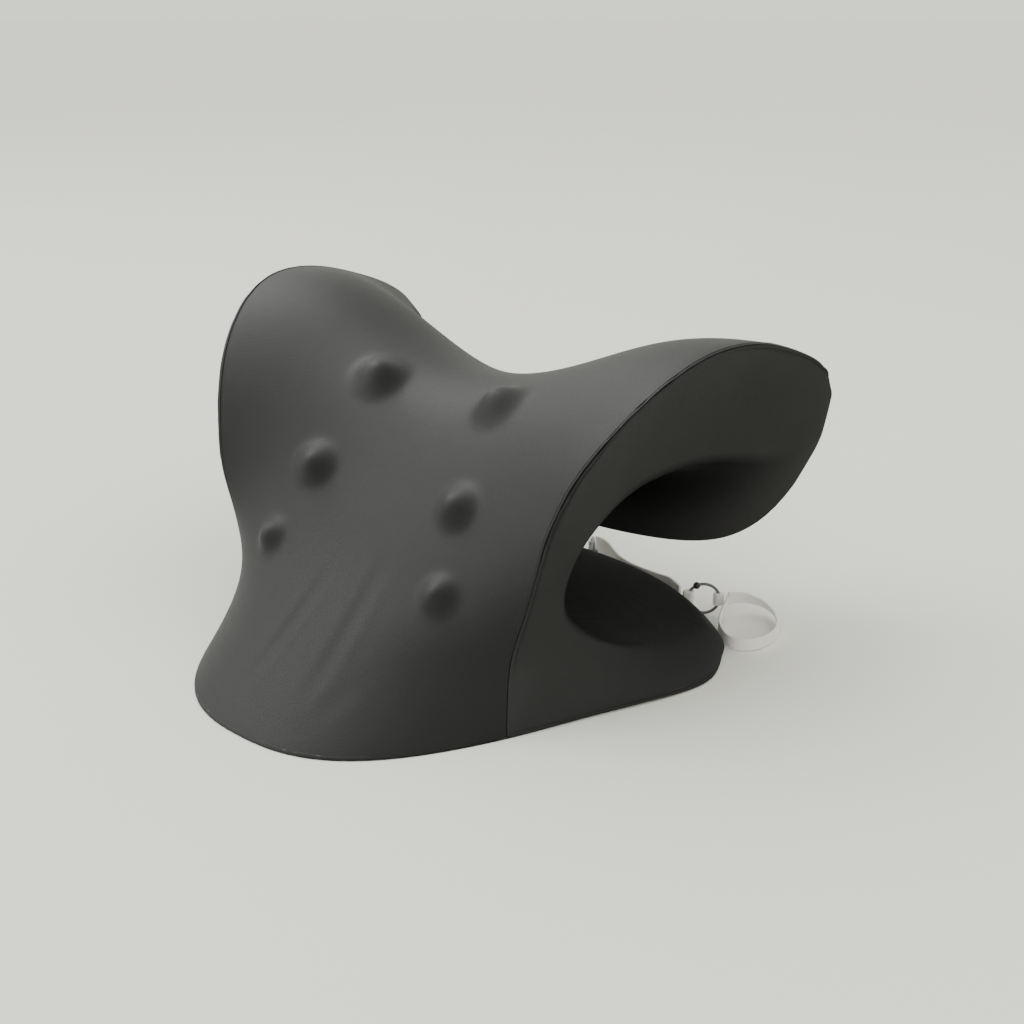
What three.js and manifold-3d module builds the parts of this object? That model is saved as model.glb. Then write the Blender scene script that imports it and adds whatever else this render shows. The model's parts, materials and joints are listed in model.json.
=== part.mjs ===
// Cervical traction device: a C-shaped neck stretcher of dense foam in a sewn stretch cover,
// with six firm massage domes, a zip inside the slot and a hanging strap on two wire rings.
// Millimetres, +Z up. The ramp faces -Y, the slot opens towards +Y, and X = 0 is the mirror plane.
import * as THREE from "three";
import { mergeVertices } from "three/addons/utils/BufferGeometryUtils.js";
import Module from "manifold-3d";

const wasm = await Module();
wasm.setup();

// ---------------------------------------------------------------- driving dimensions

const ORIGIN_Y = 48.2; // from the foot of the edge seam back to the middle of the whole depth
const COVER = 2.0; // cover fabric with its bonded backing
const GAP = 0.3; // clearance between pieces that touch
const CORE_INSET = COVER + 0.6; // foam surface below the outside of the cover
const SEAM_SETBACK = 2.1; // how far a panel's edge stops short of the seam line
const WELT_RADIUS = 0.75; // half the sewn edge that fills the seam
const WELT_DEPTH = 0.2; // the middle of that edge below the seam line
const DAMPING = 0.01; // keeps the offset of a nearly flat edge steady
const LONGEST_OFFSET = 2.8; // of a sharp corner, for each unit of depth
const CAP_ROUND = 3; // how far the lip and the rear rim of the base bulge to the rear
const NORMAL_STEP = 0.01; // step for the slope of a surface, in stations and in half widths

// The body is a beam bent into a C. Each station is one section of it, from the rear rim of the
// base (first), under the wall, up the ramp and over the saddle to the lip of the head arm (last).
// outMid and inMid are the points at X = 0 [y, z]; outEdge and inEdge are those at the side
// [x, y, z]. outPow and inPow are the powers by which y and z go from the middle to the side,
// crown flattens the ears, and bulge swells the side face outwards.
const STATIONS = [
  { outMid: [119, 0], outEdge: [96, 94, 0], inEdge: [92, 92, 13], inMid: [119, 14],
    outPow: [3, 1], inPow: [3, 2], crown: 1, bulge: 4 },
  { outMid: [97, 0], outEdge: [103, 74, 0], inEdge: [86, 77, 10.5], inMid: [94, 9.5],
    outPow: [3, 1], inPow: [3, 2], crown: 1, bulge: 5 },
  { outMid: [58, 0], outEdge: [96, 53, 0], inEdge: [79, 58, 14], inMid: [62, 9],
    outPow: [2, 1], inPow: [3, 3], crown: 1, bulge: 4 },
  { outMid: [10, 0], outEdge: [84, 28, 0], inEdge: [76, 43, 22], inMid: [42, 16],
    outPow: [2, 1], inPow: [3, 3], crown: 1, bulge: 3 },
  { outMid: [-30, 0], outEdge: [76, 10, 0], inEdge: [74, 33, 31], inMid: [32, 26],
    outPow: [2.5, 1], inPow: [3, 3], crown: 1, bulge: 2 },
  { outMid: [-56, 0], outEdge: [70.6, 0, 0], inEdge: [73, 29, 37], inMid: [28, 34],
    outPow: [2.6, 1], inPow: [3, 3], crown: 1, bulge: 2 },
  { outMid: [-30, 20], outEdge: [67, 5.6, 23.5], inEdge: [73, 27.5, 43], inMid: [27, 42],
    outPow: [2.1, 2], inPow: [3, 3], crown: 1, bulge: 2 },
  { outMid: [-5, 42], outEdge: [72, 7, 42], inEdge: [73.5, 29.5, 50], inMid: [28.5, 50],
    outPow: [2.4, 2], inPow: [3, 3], crown: 1, bulge: 1 },
  { outMid: [11, 59], outEdge: [77, 6.5, 58], inEdge: [74.5, 34, 57], inMid: [33, 58],
    outPow: [2.2, 2], inPow: [3, 3], crown: 1, bulge: 0 },
  { outMid: [21, 69.5], outEdge: [79.7, 7.6, 70.6], inEdge: [76, 41, 63.5], inMid: [41, 65.5],
    outPow: [2, 2], inPow: [3, 3], crown: 1, bulge: 0 },
  { outMid: [33, 82], outEdge: [85.3, 13.7, 89], inEdge: [77.5, 51, 69], inMid: [51, 71],
    outPow: [2, 2], inPow: [3, 3], crown: 1.2, bulge: -2 },
  { outMid: [46, 92.5], outEdge: [93, 25, 104.5], inEdge: [79, 62, 72.5], inMid: [62, 73.5],
    outPow: [2, 2], inPow: [3, 3], crown: 1.5, bulge: -4 },
  { outMid: [65, 98.3], outEdge: [100, 41, 117], inEdge: [82, 76, 74], inMid: [76, 72],
    outPow: [2, 2], inPow: [3, 3], crown: 2, bulge: -6 },
  { outMid: [86.5, 94.2], outEdge: [105, 60, 123.8], inEdge: [87, 93, 73], inMid: [92, 64],
    outPow: [2, 2], inPow: [3, 3], crown: 2.2, bulge: -7 },
  { outMid: [104, 84], outEdge: [107.5, 85, 123], inEdge: [92, 110, 70], inMid: [105, 52],
    outPow: [2, 2], inPow: [3, 4], crown: 2.2, bulge: -7 },
  { outMid: [117, 66], outEdge: [107.6, 110, 116.3], inEdge: [96.5, 127, 66], inMid: [113, 40],
    outPow: [2.2, 2.2], inPow: [3, 5.5], crown: 2, bulge: -5 },
  { outMid: [124, 48], outEdge: [106, 136, 103.5], inEdge: [101, 142, 67], inMid: [116, 31],
    outPow: [2.4, 3.2], inPow: [2.7, 7], crown: 1.6, bulge: -2 },
  { outMid: [124, 38], outEdge: [104, 150, 88], inEdge: [103, 150, 74], inMid: [118, 25],
    outPow: [2.5, 5], inPow: [2.5, 8], crown: 1, bulge: 0 },
];
const FOOT = 5; // the station where the flat underside turns up into the ramp
const LIP = STATIONS.length - 1;

// The massage domes: centre on the ramp (x, station), foot radius of the swelling in the cover
// and its height. Each one is mirrored to the other side.
const DOMES = [
  { name: "upper", x: 29.2, station: 11.15, foot: 13, height: 7 },
  { name: "middle", x: 34.8, station: 8.85, foot: 11, height: 6.2 },
  { name: "lower", x: 41, station: 7.1, foot: 9, height: 5.2 },
];
const DOME_PLUG = 0.66; // plug radius as a share of the foot radius
const DOME_SEAT = 6; // depth of the plug below the foam's surface
const DOME_HEAD = 0.72; // height of the head as a share of the swelling
const DOME_SIDES = 12;

const ZIP = {
  halfLength: 48, // of the opening
  y: 27.6, // the lining's face at the zip
  z: 46,
  openingHalf: 4.6,
  tapeHalf: 8.5,
  coilHalf: 2.3,
  postGap: 0.5, // half the slot between the two coils
};
const SLIDER = { half: [4.2, 3.2], plate: 0.8, parked: -40.5 };
// The pull turns on a bar along X, held off the slider's front plate by two legs.
const BAR = { y: 1.9, radius: 0.4, half: 2.7 };
const LEG = { from: 2.2, to: 3.2, half: 0.6 };
const PULL = { width: 4.4, length: 11, thickness: 0.9, knuckle: 1.15, half: 1.8 };

// The hanging strap: a black tab on the base's rear rim holds a ring, the ring holds a band
// that stands on edge, and the band's other end holds a second ring with the loop. A ring stands
// upright, and turn is the direction of its plane from +X.
const WIRE = 0.6; // radius of the ring wire
const WIRE_ROOM = 0.35; // clearance round the wire inside a fold
const HINGE_ROOM = 0.8; // the same where the ring turns in the fold
const RING_RADIUS = 6.3;
const RINGS = {
  tab: { centre: [12.6, 129.6, 7.1], turn: 129 },
  link: { centre: [73.2, 119.8, 7.1], turn: 35 },
};
const FOLD = { inner: 2.6, outer: 2, thickness: 3.6, height: 6.8 };
const BEAD = { radius: 1.5, angle: 118 }; // on the link ring, angle up from its far side
const BAND = { width: 8.6, thickness: 1.1 };
const LOOP = { width: 5, thickness: 0.9 };
const BAND_ROUTE = [
  [7.4, 138.2, 6.4], [10.6, 138.8, 6], [14.6, 137.8, 5.6], [19, 135, 5.2], [24, 131.4, 4.9],
  [29.5, 128.6, 4.8], [35.5, 126.8, 4.7], [42, 125.9, 4.7], [48.5, 125.2, 4.8], [54.5, 123.9, 5.4],
  [60, 119.8, 6.4], [65, 115.4, 7.3],
];
const LOOP_ROUTE = [
  [80.6, 126, 7.1], [82.8, 129.2, 6.9], [86, 132.4, 6.3], [90.6, 134, 5.4], [95.6, 133.2, 4.4],
  [100.4, 129.6, 3.6], [104, 124, 3.1], [106, 117.6, 2.9], [106, 111.4, 2.8], [104.4, 106.2, 2.8],
  [101.4, 102.8, 2.8], [97.6, 101.4, 2.8], [93.8, 102.4, 2.8], [90.2, 105.2, 2.9],
  [87, 108.8, 3.1], [84.8, 113, 3.8], [83.4, 117.4, 5], [82.8, 121, 6.2], [81.7, 124, 7.1],
];

// ---------------------------------------------------------------- materials

const FINISHES = {
  cover: { color: 0x2b2b2d, roughness: 0.78, metalness: 0 },
  lining: { color: 0x1c1c1e, roughness: 0.85, metalness: 0 },
  grip: { color: 0x161617, roughness: 0.95, metalness: 0 },
  foam: { color: 0x4a4a4e, roughness: 0.95, metalness: 0 },
  welt: { color: 0x121213, roughness: 0.8, metalness: 0 },
  dome: { color: 0x303236, roughness: 0.6, metalness: 0 },
  nylon: { color: 0x0d0d0e, roughness: 0.5, metalness: 0 },
  metal: { color: 0x3a3a3d, roughness: 0.35, metalness: 1 },
  webbing: { color: 0xdcdad2, roughness: 0.75, metalness: 0 },
};

const device = new THREE.Group();
device.position.y = -ORIGIN_Y;

function addMesh(name, geometry, finish, parent = device) {
  const mesh = new THREE.Mesh(geometry, new THREE.MeshStandardMaterial(FINISHES[finish]));
  mesh.name = name;
  parent.add(mesh);
  return mesh;
}

// ---------------------------------------------------------------- solids for cutting

function solidOf(geometry) {
  const bare = geometry.index ? geometry.toNonIndexed() : geometry.clone();
  bare.deleteAttribute("normal");
  bare.deleteAttribute("uv");
  const merged = mergeVertices(bare, 1e-3);
  return new wasm.Manifold(
    new wasm.Mesh({
      numProp: 3,
      vertProperties: new Float32Array(merged.attributes.position.array),
      triVerts: new Uint32Array(merged.index.array),
    }),
  );
}

// The largest body of a solid, without the slivers that a cut can leave.
function geometryOf(solid) {
  const bodies = solid.decompose().sort((a, b) => b.volume() - a.volume());
  const mesh = bodies[0].getMesh();
  const geometry = new THREE.BufferGeometry();
  geometry.setAttribute("position", new THREE.BufferAttribute(mesh.vertProperties, 3));
  geometry.setIndex(new THREE.BufferAttribute(mesh.triVerts, 1));
  geometry.computeVertexNormals();
  return geometry;
}

function cut(geometry, ...tools) {
  return geometryOf(tools.reduce((rest, tool) => rest.subtract(solidOf(tool)), solidOf(geometry)));
}

function box(low, high) {
  const size = new THREE.Vector3(...high).sub(new THREE.Vector3(...low));
  const middle = new THREE.Vector3(...high).add(new THREE.Vector3(...low)).multiplyScalar(0.5);
  return new THREE.BoxGeometry(...size.toArray()).translate(...middle.toArray());
}

// ---------------------------------------------------------------- surfaces of the body

// A curve through one value of every station; the outer ones break at the foot.
function stationCurve(valueOf, breaks) {
  const points = STATIONS.map((station) => new THREE.Vector3(...valueOf(station)));
  const whole = new THREE.CatmullRomCurve3(points);
  const under = new THREE.CatmullRomCurve3(points.slice(0, FOOT + 1));
  const above = new THREE.CatmullRomCurve3(points.slice(FOOT));
  return (k) => {
    if (!breaks) return whole.getPoint(k / LIP);
    return k <= FOOT ? under.getPoint(k / FOOT) : above.getPoint((k - FOOT) / (LIP - FOOT));
  };
}

const outMid = stationCurve((s) => [0, ...s.outMid], true);
const outEdge = stationCurve((s) => s.outEdge, true);
const inMid = stationCurve((s) => [0, ...s.inMid], false);
const inEdge = stationCurve((s) => s.inEdge, false);
const outShape = stationCurve((s) => [...s.outPow, s.crown], true);
const inShape = stationCurve((s) => [...s.inPow, s.bulge], false);

function across(mid, edge, powers, crown, s) {
  const share = Math.min(1, Math.abs(s));
  const rise = 1 - (1 - share ** powers.y) ** crown;
  const y = mid.y + (edge.y - mid.y) * share ** powers.x;
  return new THREE.Vector3(s * edge.x, y, mid.z + (edge.z - mid.z) * rise);
}

function outerPoint(k, s) {
  const shape = outShape(k);
  return across(outMid(k), outEdge(k), shape, shape.z, s);
}

function innerPoint(k, s) {
  return across(inMid(k), inEdge(k), inShape(k), 1, s);
}

// A point between the outer surface (r = 0) and the inner one (r = 1), on a side face
// (s = -1 or 1) or on an end cap (first or last station).
function betweenPoint(k, s, r) {
  const swell = 4 * r * (1 - r);
  const ends = Math.max(0, 1 - k) ** 2 + Math.max(0, k - LIP + 1) ** 2;
  const point = outerPoint(k, s).lerp(innerPoint(k, s), r);
  point.x += Math.sign(s) * inShape(k).z * swell * Math.abs(s) ** 6;
  point.y += CAP_ROUND * ends * swell;
  return point;
}

function normalAt(pointOf, k, s, low, high) {
  const k0 = Math.max(low, k - NORMAL_STEP);
  const k1 = Math.min(high, k + NORMAL_STEP);
  const s0 = Math.max(-1, s - NORMAL_STEP);
  const s1 = Math.min(1, s + NORMAL_STEP);
  const along = pointOf(k1, s).sub(pointOf(k0, s));
  return pointOf(k, s1).sub(pointOf(k, s0)).cross(along).normalize();
}

function spread(from, to, count) {
  return Array.from({ length: count + 1 }, (_, i) => from + ((to - from) * i) / count);
}

// Rows along the C. The ramp has closer rows, because it carries the domes.
const UNDER_ROWS = [0, 0.5, 1, 2, 3.5];
const RAMP_ROWS = [FOOT, 5.4, 6, 6.6].concat(spread(7, 12, 12));
const ARM_ROWS = spread(12, LIP, 8).slice(1);
const ROWS = UNDER_ROWS.concat(RAMP_ROWS, ARM_ROWS);
const HALF_COLUMNS = [0.14, 0.26, 0.36, 0.46, 0.58, 0.72, 0.86, 1];
const COLUMNS = HALF_COLUMNS.map((s) => -s).reverse().concat(0, HALF_COLUMNS);
const SIDE_STEPS = spread(0, 1, 2);

// ---------------------------------------------------------------- closed shells from patches

// A patch is a grid of points. Grids that share an edge share its vertices, because points
// are welded by place.
class Surface {
  constructor() {
    this.points = [];
    this.faces = [];
    this.patchOf = [];
    this.patches = 0;
    this.known = new Map();
  }

  static key(point) {
    return point.toArray().map((c) => Math.round(c * 1e3) + 0).join();
  }

  vertex(point) {
    const key = Surface.key(point);
    if (!this.known.has(key)) {
      this.known.set(key, this.points.length);
      this.points.push(point.clone());
    }
    return this.known.get(key);
  }

  patch(rows, columns, pointOf, flip = false) {
    this.patches += 1;
    const grid = rows.map((a) => columns.map((b) => this.vertex(pointOf(a, b))));
    for (let i = 0; i + 1 < grid.length; i++)
      for (let j = 0; j + 1 < columns.length; j++) {
        const corners = [grid[i][j], grid[i][j + 1], grid[i + 1][j + 1], grid[i + 1][j]];
        if (flip) corners.reverse();
        this.triangle(corners[0], corners[1], corners[2]);
        this.triangle(corners[0], corners[2], corners[3]);
      }
    return this;
  }

  triangle(a, b, c) {
    if (a === b || b === c || c === a) return;
    this.faces.push([a, b, c]);
    this.patchOf.push(this.patches);
  }

  faceNormal([a, b, c]) {
    const [p, q, r] = [this.points[a], this.points[b], this.points[c]];
    return q.clone().sub(p).cross(r.clone().sub(p)).normalize();
  }

  // For each vertex, the move that takes it one unit off every patch it lies on: the point
  // where the patches' planes meet once each has been moved by one unit.
  offsets() {
    const around = this.points.map(() => new Map());
    this.faces.forEach((face, i) => {
      const normal = this.faceNormal(face);
      for (const v of face) {
        const patch = this.patchOf[i];
        around[v].set(patch, (around[v].get(patch) ?? new THREE.Vector3()).add(normal));
      }
    });
    return around.map((patches) => {
      const normals = [...patches.values()].map((n) => n.normalize());
      const outer = (i, j) => normals.reduce((sum, n) => sum + n.getComponent(i) * n.getComponent(j), 0);
      const cell = (i, j) => outer(i, j) + (i === j ? DAMPING : 0);
      const matrix = new THREE.Matrix3(
        cell(0, 0), cell(0, 1), cell(0, 2),
        cell(1, 0), cell(1, 1), cell(1, 2),
        cell(2, 0), cell(2, 1), cell(2, 2),
      );
      const sum = normals.reduce((total, n) => total.add(n), new THREE.Vector3());
      return sum.applyMatrix3(matrix.invert()).clampLength(0, LONGEST_OFFSET);
    });
  }

  geometry() {
    const made = new THREE.BufferGeometry();
    const flat = this.points.flatMap((p) => p.toArray());
    made.setAttribute("position", new THREE.Float32BufferAttribute(flat, 3));
    made.setIndex(this.faces.flat());
    made.computeVertexNormals();
    return made;
  }

  inset(depth) {
    const moved = new Surface();
    const away = this.offsets();
    moved.points = this.points.map((p, i) => p.clone().addScaledVector(away[i], -depth));
    moved.faces = this.faces;
    return moved;
  }

  // Edges with a face on one side only, each with the direction from it into that face.
  openEdges() {
    const seen = new Map();
    for (const face of this.faces)
      for (const [u, v] of [[0, 1], [1, 2], [2, 0]].map(([i, j]) => [face[i], face[j]]))
        seen.set(u + "," + v, { u, v, face });
    const open = [...seen.values()].filter(({ u, v }) => !seen.has(v + "," + u));
    for (const edge of open) {
      const line = this.points[edge.v].clone().sub(this.points[edge.u]);
      edge.inward = this.faceNormal(edge.face).cross(line.normalize());
    }
    return open;
  }

  // The patch as a sheet of the cover. Its open edges are drawn back from the seam line, and the
  // inner face ends at the corner of the inset body, so that two sheets meet there at a mitre.
  sheet(bodyOffsets, thickness = COVER) {
    const away = this.offsets();
    const edges = this.openEdges();
    const pull = new Map();
    for (const { u, v, inward } of edges)
      for (const end of [u, v]) pull.set(end, (pull.get(end) ?? new THREE.Vector3()).add(inward));
    const outside = this.points.map((p) => p.clone());
    const inside = this.points.map((p, i) => p.clone().addScaledVector(away[i], -thickness));
    for (const [v, sum] of pull) {
      const direction = sum.normalize();
      const corner = bodyOffsets.get(Surface.key(this.points[v]));
      outside[v].addScaledVector(direction, SEAM_SETBACK);
      inside[v].copy(this.points[v]).addScaledVector(corner, -thickness).addScaledVector(direction, GAP);
    }
    const shell = new Surface();
    shell.points = outside.concat(inside);
    const n = this.points.length;
    shell.faces = this.faces.concat(this.faces.map(([a, b, c]) => [a + n, c + n, b + n]));
    for (const { u, v } of edges) shell.faces.push([v, u, u + n], [v, u + n, v + n]);
    return shell.geometry();
  }
}

// ---------------------------------------------------------------- foam core

function bodySurface() {
  const surface = new Surface();
  surface.patch(UNDER_ROWS.concat([FOOT]), COLUMNS, outerPoint);
  surface.patch(RAMP_ROWS.concat(ARM_ROWS), COLUMNS, outerPoint);
  surface.patch(ROWS, COLUMNS, innerPoint, true);
  surface.patch(ROWS, SIDE_STEPS, (k, r) => betweenPoint(k, 1, r));
  surface.patch(ROWS, SIDE_STEPS, (k, r) => betweenPoint(k, -1, r), true);
  surface.patch(COLUMNS, SIDE_STEPS, (s, r) => betweenPoint(0, s, r));
  surface.patch(COLUMNS, SIDE_STEPS, (s, r) => betweenPoint(LIP, s, r), true);
  return surface;
}

const body = bodySurface();
const bodyOffsets = new Map(body.offsets().map((away, i) => [Surface.key(body.points[i]), away]));

function domeFrame(dome, side) {
  const s = (side * dome.x) / outEdge(dome.station).x;
  const point = outerPoint(dome.station, s);
  const normal = normalAt(outerPoint, dome.station, s, FOOT, LIP);
  return { point, normal };
}

function placed(geometry, { point, normal }) {
  const turn = new THREE.Quaternion().setFromUnitVectors(new THREE.Vector3(0, 1, 0), normal);
  return geometry.clone().applyQuaternion(turn).translate(...point.toArray());
}

function swelling(dome, distance) {
  if (distance >= dome.foot) return 0;
  return dome.height * Math.cos((Math.PI / 2) * (distance / dome.foot)) ** 2;
}

// The plug with its domed head, or the room for it with some clearance all round.
function domeGeometry(dome, clearance = 0) {
  const plug = dome.foot * DOME_PLUG + clearance;
  const head = spread(0, plug, 4).map((radius) => {
    const height = DOME_HEAD * swelling(dome, Math.max(0, radius - clearance)) + clearance;
    return new THREE.Vector2(radius, height - CORE_INSET - GAP);
  });
  const bottom = -CORE_INSET - DOME_SEAT - clearance;
  const profile = [new THREE.Vector2(0, bottom), new THREE.Vector2(plug, bottom)];
  return new THREE.LatheGeometry(profile.concat(head.reverse()), DOME_SIDES);
}

function eachDome(action) {
  for (const dome of DOMES)
    for (const [side, word] of [[1, "right"], [-1, "left"]]) action(dome, side, word);
}

function zipRecess() {
  const reach = ZIP.halfLength + 3;
  const tapes = box(
    [-reach, ZIP.y - 3.9, ZIP.z - ZIP.tapeHalf - GAP],
    [reach, ZIP.y + 4, ZIP.z + ZIP.tapeHalf + GAP],
  );
  const slider = box(
    [-reach, ZIP.y - 5.4, ZIP.z - SLIDER.half[1] - 0.6],
    [reach, ZIP.y + 4, ZIP.z + SLIDER.half[1] + 0.6],
  );
  return [tapes, slider];
}

function domeRooms() {
  const rooms = [];
  eachDome((dome, side) => rooms.push(placed(domeGeometry(dome, GAP), domeFrame(dome, side))));
  return rooms;
}

function addFoamCore() {
  const tools = zipRecess();
  tools.push(...domeRooms());
  addMesh("foam_core", cut(body.inset(CORE_INSET).geometry(), ...tools), "foam");
}

function addDomes() {
  eachDome((dome, side, word) => {
    const geometry = placed(domeGeometry(dome), domeFrame(dome, side));
    addMesh("massage_dome_" + dome.name + "_" + word, geometry, "dome");
  });
}

// ---------------------------------------------------------------- cover

function rampPoint(k, s) {
  const point = outerPoint(k, s);
  eachDome((dome, side) => {
    const frame = domeFrame(dome, side);
    const distance = point.distanceTo(frame.point);
    point.addScaledVector(frame.normal, swelling(dome, distance));
  });
  return point;
}

function frontSurface() {
  return new Surface().patch(RAMP_ROWS.concat(ARM_ROWS), COLUMNS, rampPoint);
}

function baseSurface() {
  return new Surface().patch(UNDER_ROWS.concat([FOOT]), COLUMNS, outerPoint);
}

function addFrontPanel() {
  const surface = frontSurface();
  addMesh("cover_front_panel", cut(surface.sheet(bodyOffsets), ...domeRooms()), "cover");
}

function addSlotPanel() {
  const surface = new Surface();
  surface.patch(ROWS, COLUMNS, innerPoint, true);
  surface.patch(ROWS, SIDE_STEPS, (k, r) => betweenPoint(k, 1, r));
  surface.patch(ROWS, SIDE_STEPS, (k, r) => betweenPoint(k, -1, r), true);
  surface.patch(COLUMNS, SIDE_STEPS, (s, r) => betweenPoint(0, s, r));
  surface.patch(COLUMNS, SIDE_STEPS, (s, r) => betweenPoint(LIP, s, r), true);
  const opening = box(
    [-ZIP.halfLength, ZIP.y - 6, ZIP.z - ZIP.openingHalf],
    [ZIP.halfLength, ZIP.y + 6, ZIP.z + ZIP.openingHalf],
  );
  const rooms = [COVER, COVER + GAP].map((depth) => frontSurface().sheet(bodyOffsets, depth));
  const sheet = cut(surface.sheet(bodyOffsets), ...rooms, opening);
  addMesh("cover_side_and_slot_panel", sheet, "lining");
}

function addBasePanel() {
  addMesh("cover_base_panel", baseSurface().sheet(bodyOffsets), "grip");
}

// ---------------------------------------------------------------- welts in the seams

function polygon(corners) {
  return new THREE.Shape(corners.map(([x, y]) => new THREE.Vector2(x, y)));
}

function along(points, section, steps) {
  const path = new THREE.CatmullRomCurve3(points);
  return new THREE.ExtrudeGeometry(section, { steps, extrudePath: path, bevelEnabled: false });
}

function roundSection(radius, sides) {
  const corners = spread(0, 2 * Math.PI, sides).slice(0, sides);
  return polygon(corners.map((angle) => [radius * Math.cos(angle), radius * Math.sin(angle)]));
}

function addWelt(name, points, steps) {
  addMesh(name, along(points, roundSection(WELT_RADIUS, 6), steps), "welt");
}

// A point of the seam, a little inside the corner that two panels make.
function seamPoint(k, s) {
  const point = outerPoint(k, s);
  const away = bodyOffsets.get(Surface.key(point));
  return point.addScaledVector(away.clone().normalize(), -WELT_DEPTH);
}

function addEdgeWelts() {
  const rows = RAMP_ROWS.concat(ARM_ROWS).slice(1, -1);
  const columns = COLUMNS.slice(1, -1);
  addWelt("edge_welt_right", rows.map((k) => seamPoint(k, 1)), 36);
  addWelt("edge_welt_left", rows.map((k) => seamPoint(k, -1)), 36);
  addWelt("lip_welt", columns.map((s) => seamPoint(LIP, s)), 24);
}

function floorPoint(k, s) {
  return outerPoint(k, s).setZ(WELT_RADIUS + GAP / 2);
}

function addBaseWelts() {
  const sides = [0.25, 1, 2, 3.5, 4.5];
  addWelt("base_welt_front", COLUMNS.slice(1, -1).map((s) => floorPoint(FOOT, s)), 20);
  addWelt("base_welt_right", sides.map((k) => floorPoint(k, 1)), 10);
  addWelt("base_welt_left", sides.map((k) => floorPoint(k, -1)), 10);
  addWelt("base_welt_rear", COLUMNS.slice(1, -1).map((s) => floorPoint(0, s)), 16);
}

// ---------------------------------------------------------------- zip

// Boxes of the zip are given as [along X], [off the lining, towards the slot], [along Z].
function zipBox([x0, x1], [y0, y1], [z0, z1]) {
  return box([x0, ZIP.y + y0, ZIP.z + z0], [x1, ZIP.y + y1, ZIP.z + z1]);
}

function addZip() {
  const reach = ZIP.halfLength - GAP;
  for (const [sign, word] of [[1, "upper"], [-1, "lower"]]) {
    const span = (a, b) => [sign * a, sign * b].sort((p, q) => p - q);
    const tape = zipBox([-reach, reach], [-3.6, -2.9], span(ZIP.postGap, ZIP.tapeHalf));
    const coil = zipBox([-reach + 2, reach - 2], [-2.6, -1], span(ZIP.postGap, ZIP.coilHalf));
    addMesh("zip_tape_" + word, tape, "nylon");
    addMesh("zip_coil_" + word, coil, "nylon");
  }
  const stop = (x) => zipBox([x - 0.8, x + 0.8], [-2.6, -0.8], [-ZIP.coilHalf, ZIP.coilHalf]);
  addMesh("zip_stop_closed", stop(-reach + 1), "metal");
  addMesh("zip_stop_open", stop(reach - 1), "metal");
}

function addSlider() {
  const [halfX, halfZ] = SLIDER.half;
  const x = [SLIDER.parked - halfX, SLIDER.parked + halfX];
  const back = solidOf(zipBox(x, [-4.7, -4.7 + SLIDER.plate], [-halfZ, halfZ]));
  const front = solidOf(zipBox(x, [-0.6, -0.6 + SLIDER.plate], [-halfZ, halfZ]));
  const post = solidOf(zipBox([x[0] + 1, x[0] + 3], [-4.2, -0.2], [-0.2, 0.2]));
  const legs = [-LEG.to, LEG.from].map((from) => {
    const start = SLIDER.parked + from;
    const high = BAR.y + LEG.half;
    return solidOf(zipBox([start, start + LEG.to - LEG.from], [0, high], [-LEG.half, LEG.half]));
  });
  const pieces = [front, post, ...legs, solidOf(roundBar(BAR.radius, BAR.half))];
  addMesh("zip_slider", geometryOf(pieces.reduce((sum, piece) => sum.add(piece), back)), "metal");
}

// A cylinder along X round the pull's axis.
function roundBar(radius, half) {
  const bar = new THREE.CylinderGeometry(radius, radius, 2 * half, 12).rotateZ(Math.PI / 2);
  return bar.translate(SLIDER.parked, ZIP.y + BAR.y, ZIP.z);
}

// The pull hangs from the bar by a knuckle that fits between the legs.
function addPull() {
  const [half, thick] = [PULL.width / 2, PULL.thickness / 2];
  const x = SLIDER.parked;
  const tag = solidOf(zipBox([x - half, x + half], [BAR.y - thick, BAR.y + thick], [-PULL.length, -1.4]));
  const neck = solidOf(
    zipBox([x - PULL.half, x + PULL.half], [BAR.y - thick, BAR.y + thick], [-1.6, -0.8]),
  );
  const knuckle = solidOf(roundBar(PULL.knuckle, PULL.half));
  const bore = solidOf(roundBar(BAR.radius + 0.25, PULL.half + 1));
  addMesh("zip_pull", geometryOf(knuckle.add(neck).subtract(bore).add(tag)), "metal");
}

// ---------------------------------------------------------------- hanging strap

// Places a geometry made about a ring's middle, with its plane along X.
function onRing(geometry, ring) {
  return geometry.rotateZ(THREE.MathUtils.degToRad(ring.turn)).translate(...ring.centre);
}

function ringGeometry(ring, wire, sides) {
  return onRing(new THREE.TorusGeometry(RING_RADIUS, wire, sides, 20).rotateX(Math.PI / 2), ring);
}

// A fold of webbing round the ring's wire, on its near side (-1) or its far side (1).
function foldGeometry(ring, side, room) {
  const near = side * (RING_RADIUS - FOLD.inner);
  const far = side * (RING_RADIUS + FOLD.outer);
  const [half, high] = [FOLD.thickness / 2, FOLD.height / 2];
  const block = box([Math.min(near, far), -half, -high], [Math.max(near, far), half, high]);
  return cut(onRing(block, ring), ringGeometry(ring, WIRE + room, 6));
}

function beadGeometry(ring) {
  const angle = THREE.MathUtils.degToRad(BEAD.angle);
  const ball = new THREE.SphereGeometry(BEAD.radius, 10, 7);
  ball.translate(RING_RADIUS * Math.cos(angle), 0, RING_RADIUS * Math.sin(angle));
  return cut(onRing(ball, ring), ringGeometry(ring, WIRE + GAP, 6));
}

function ribbon(points, { width, thickness }, steps) {
  const [w, t] = [width / 2, thickness / 2];
  const section = polygon([[-w, -t], [w, -t], [w, t], [-w, t]]);
  return along(points.map((p) => new THREE.Vector3(...p)), section, steps);
}

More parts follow.
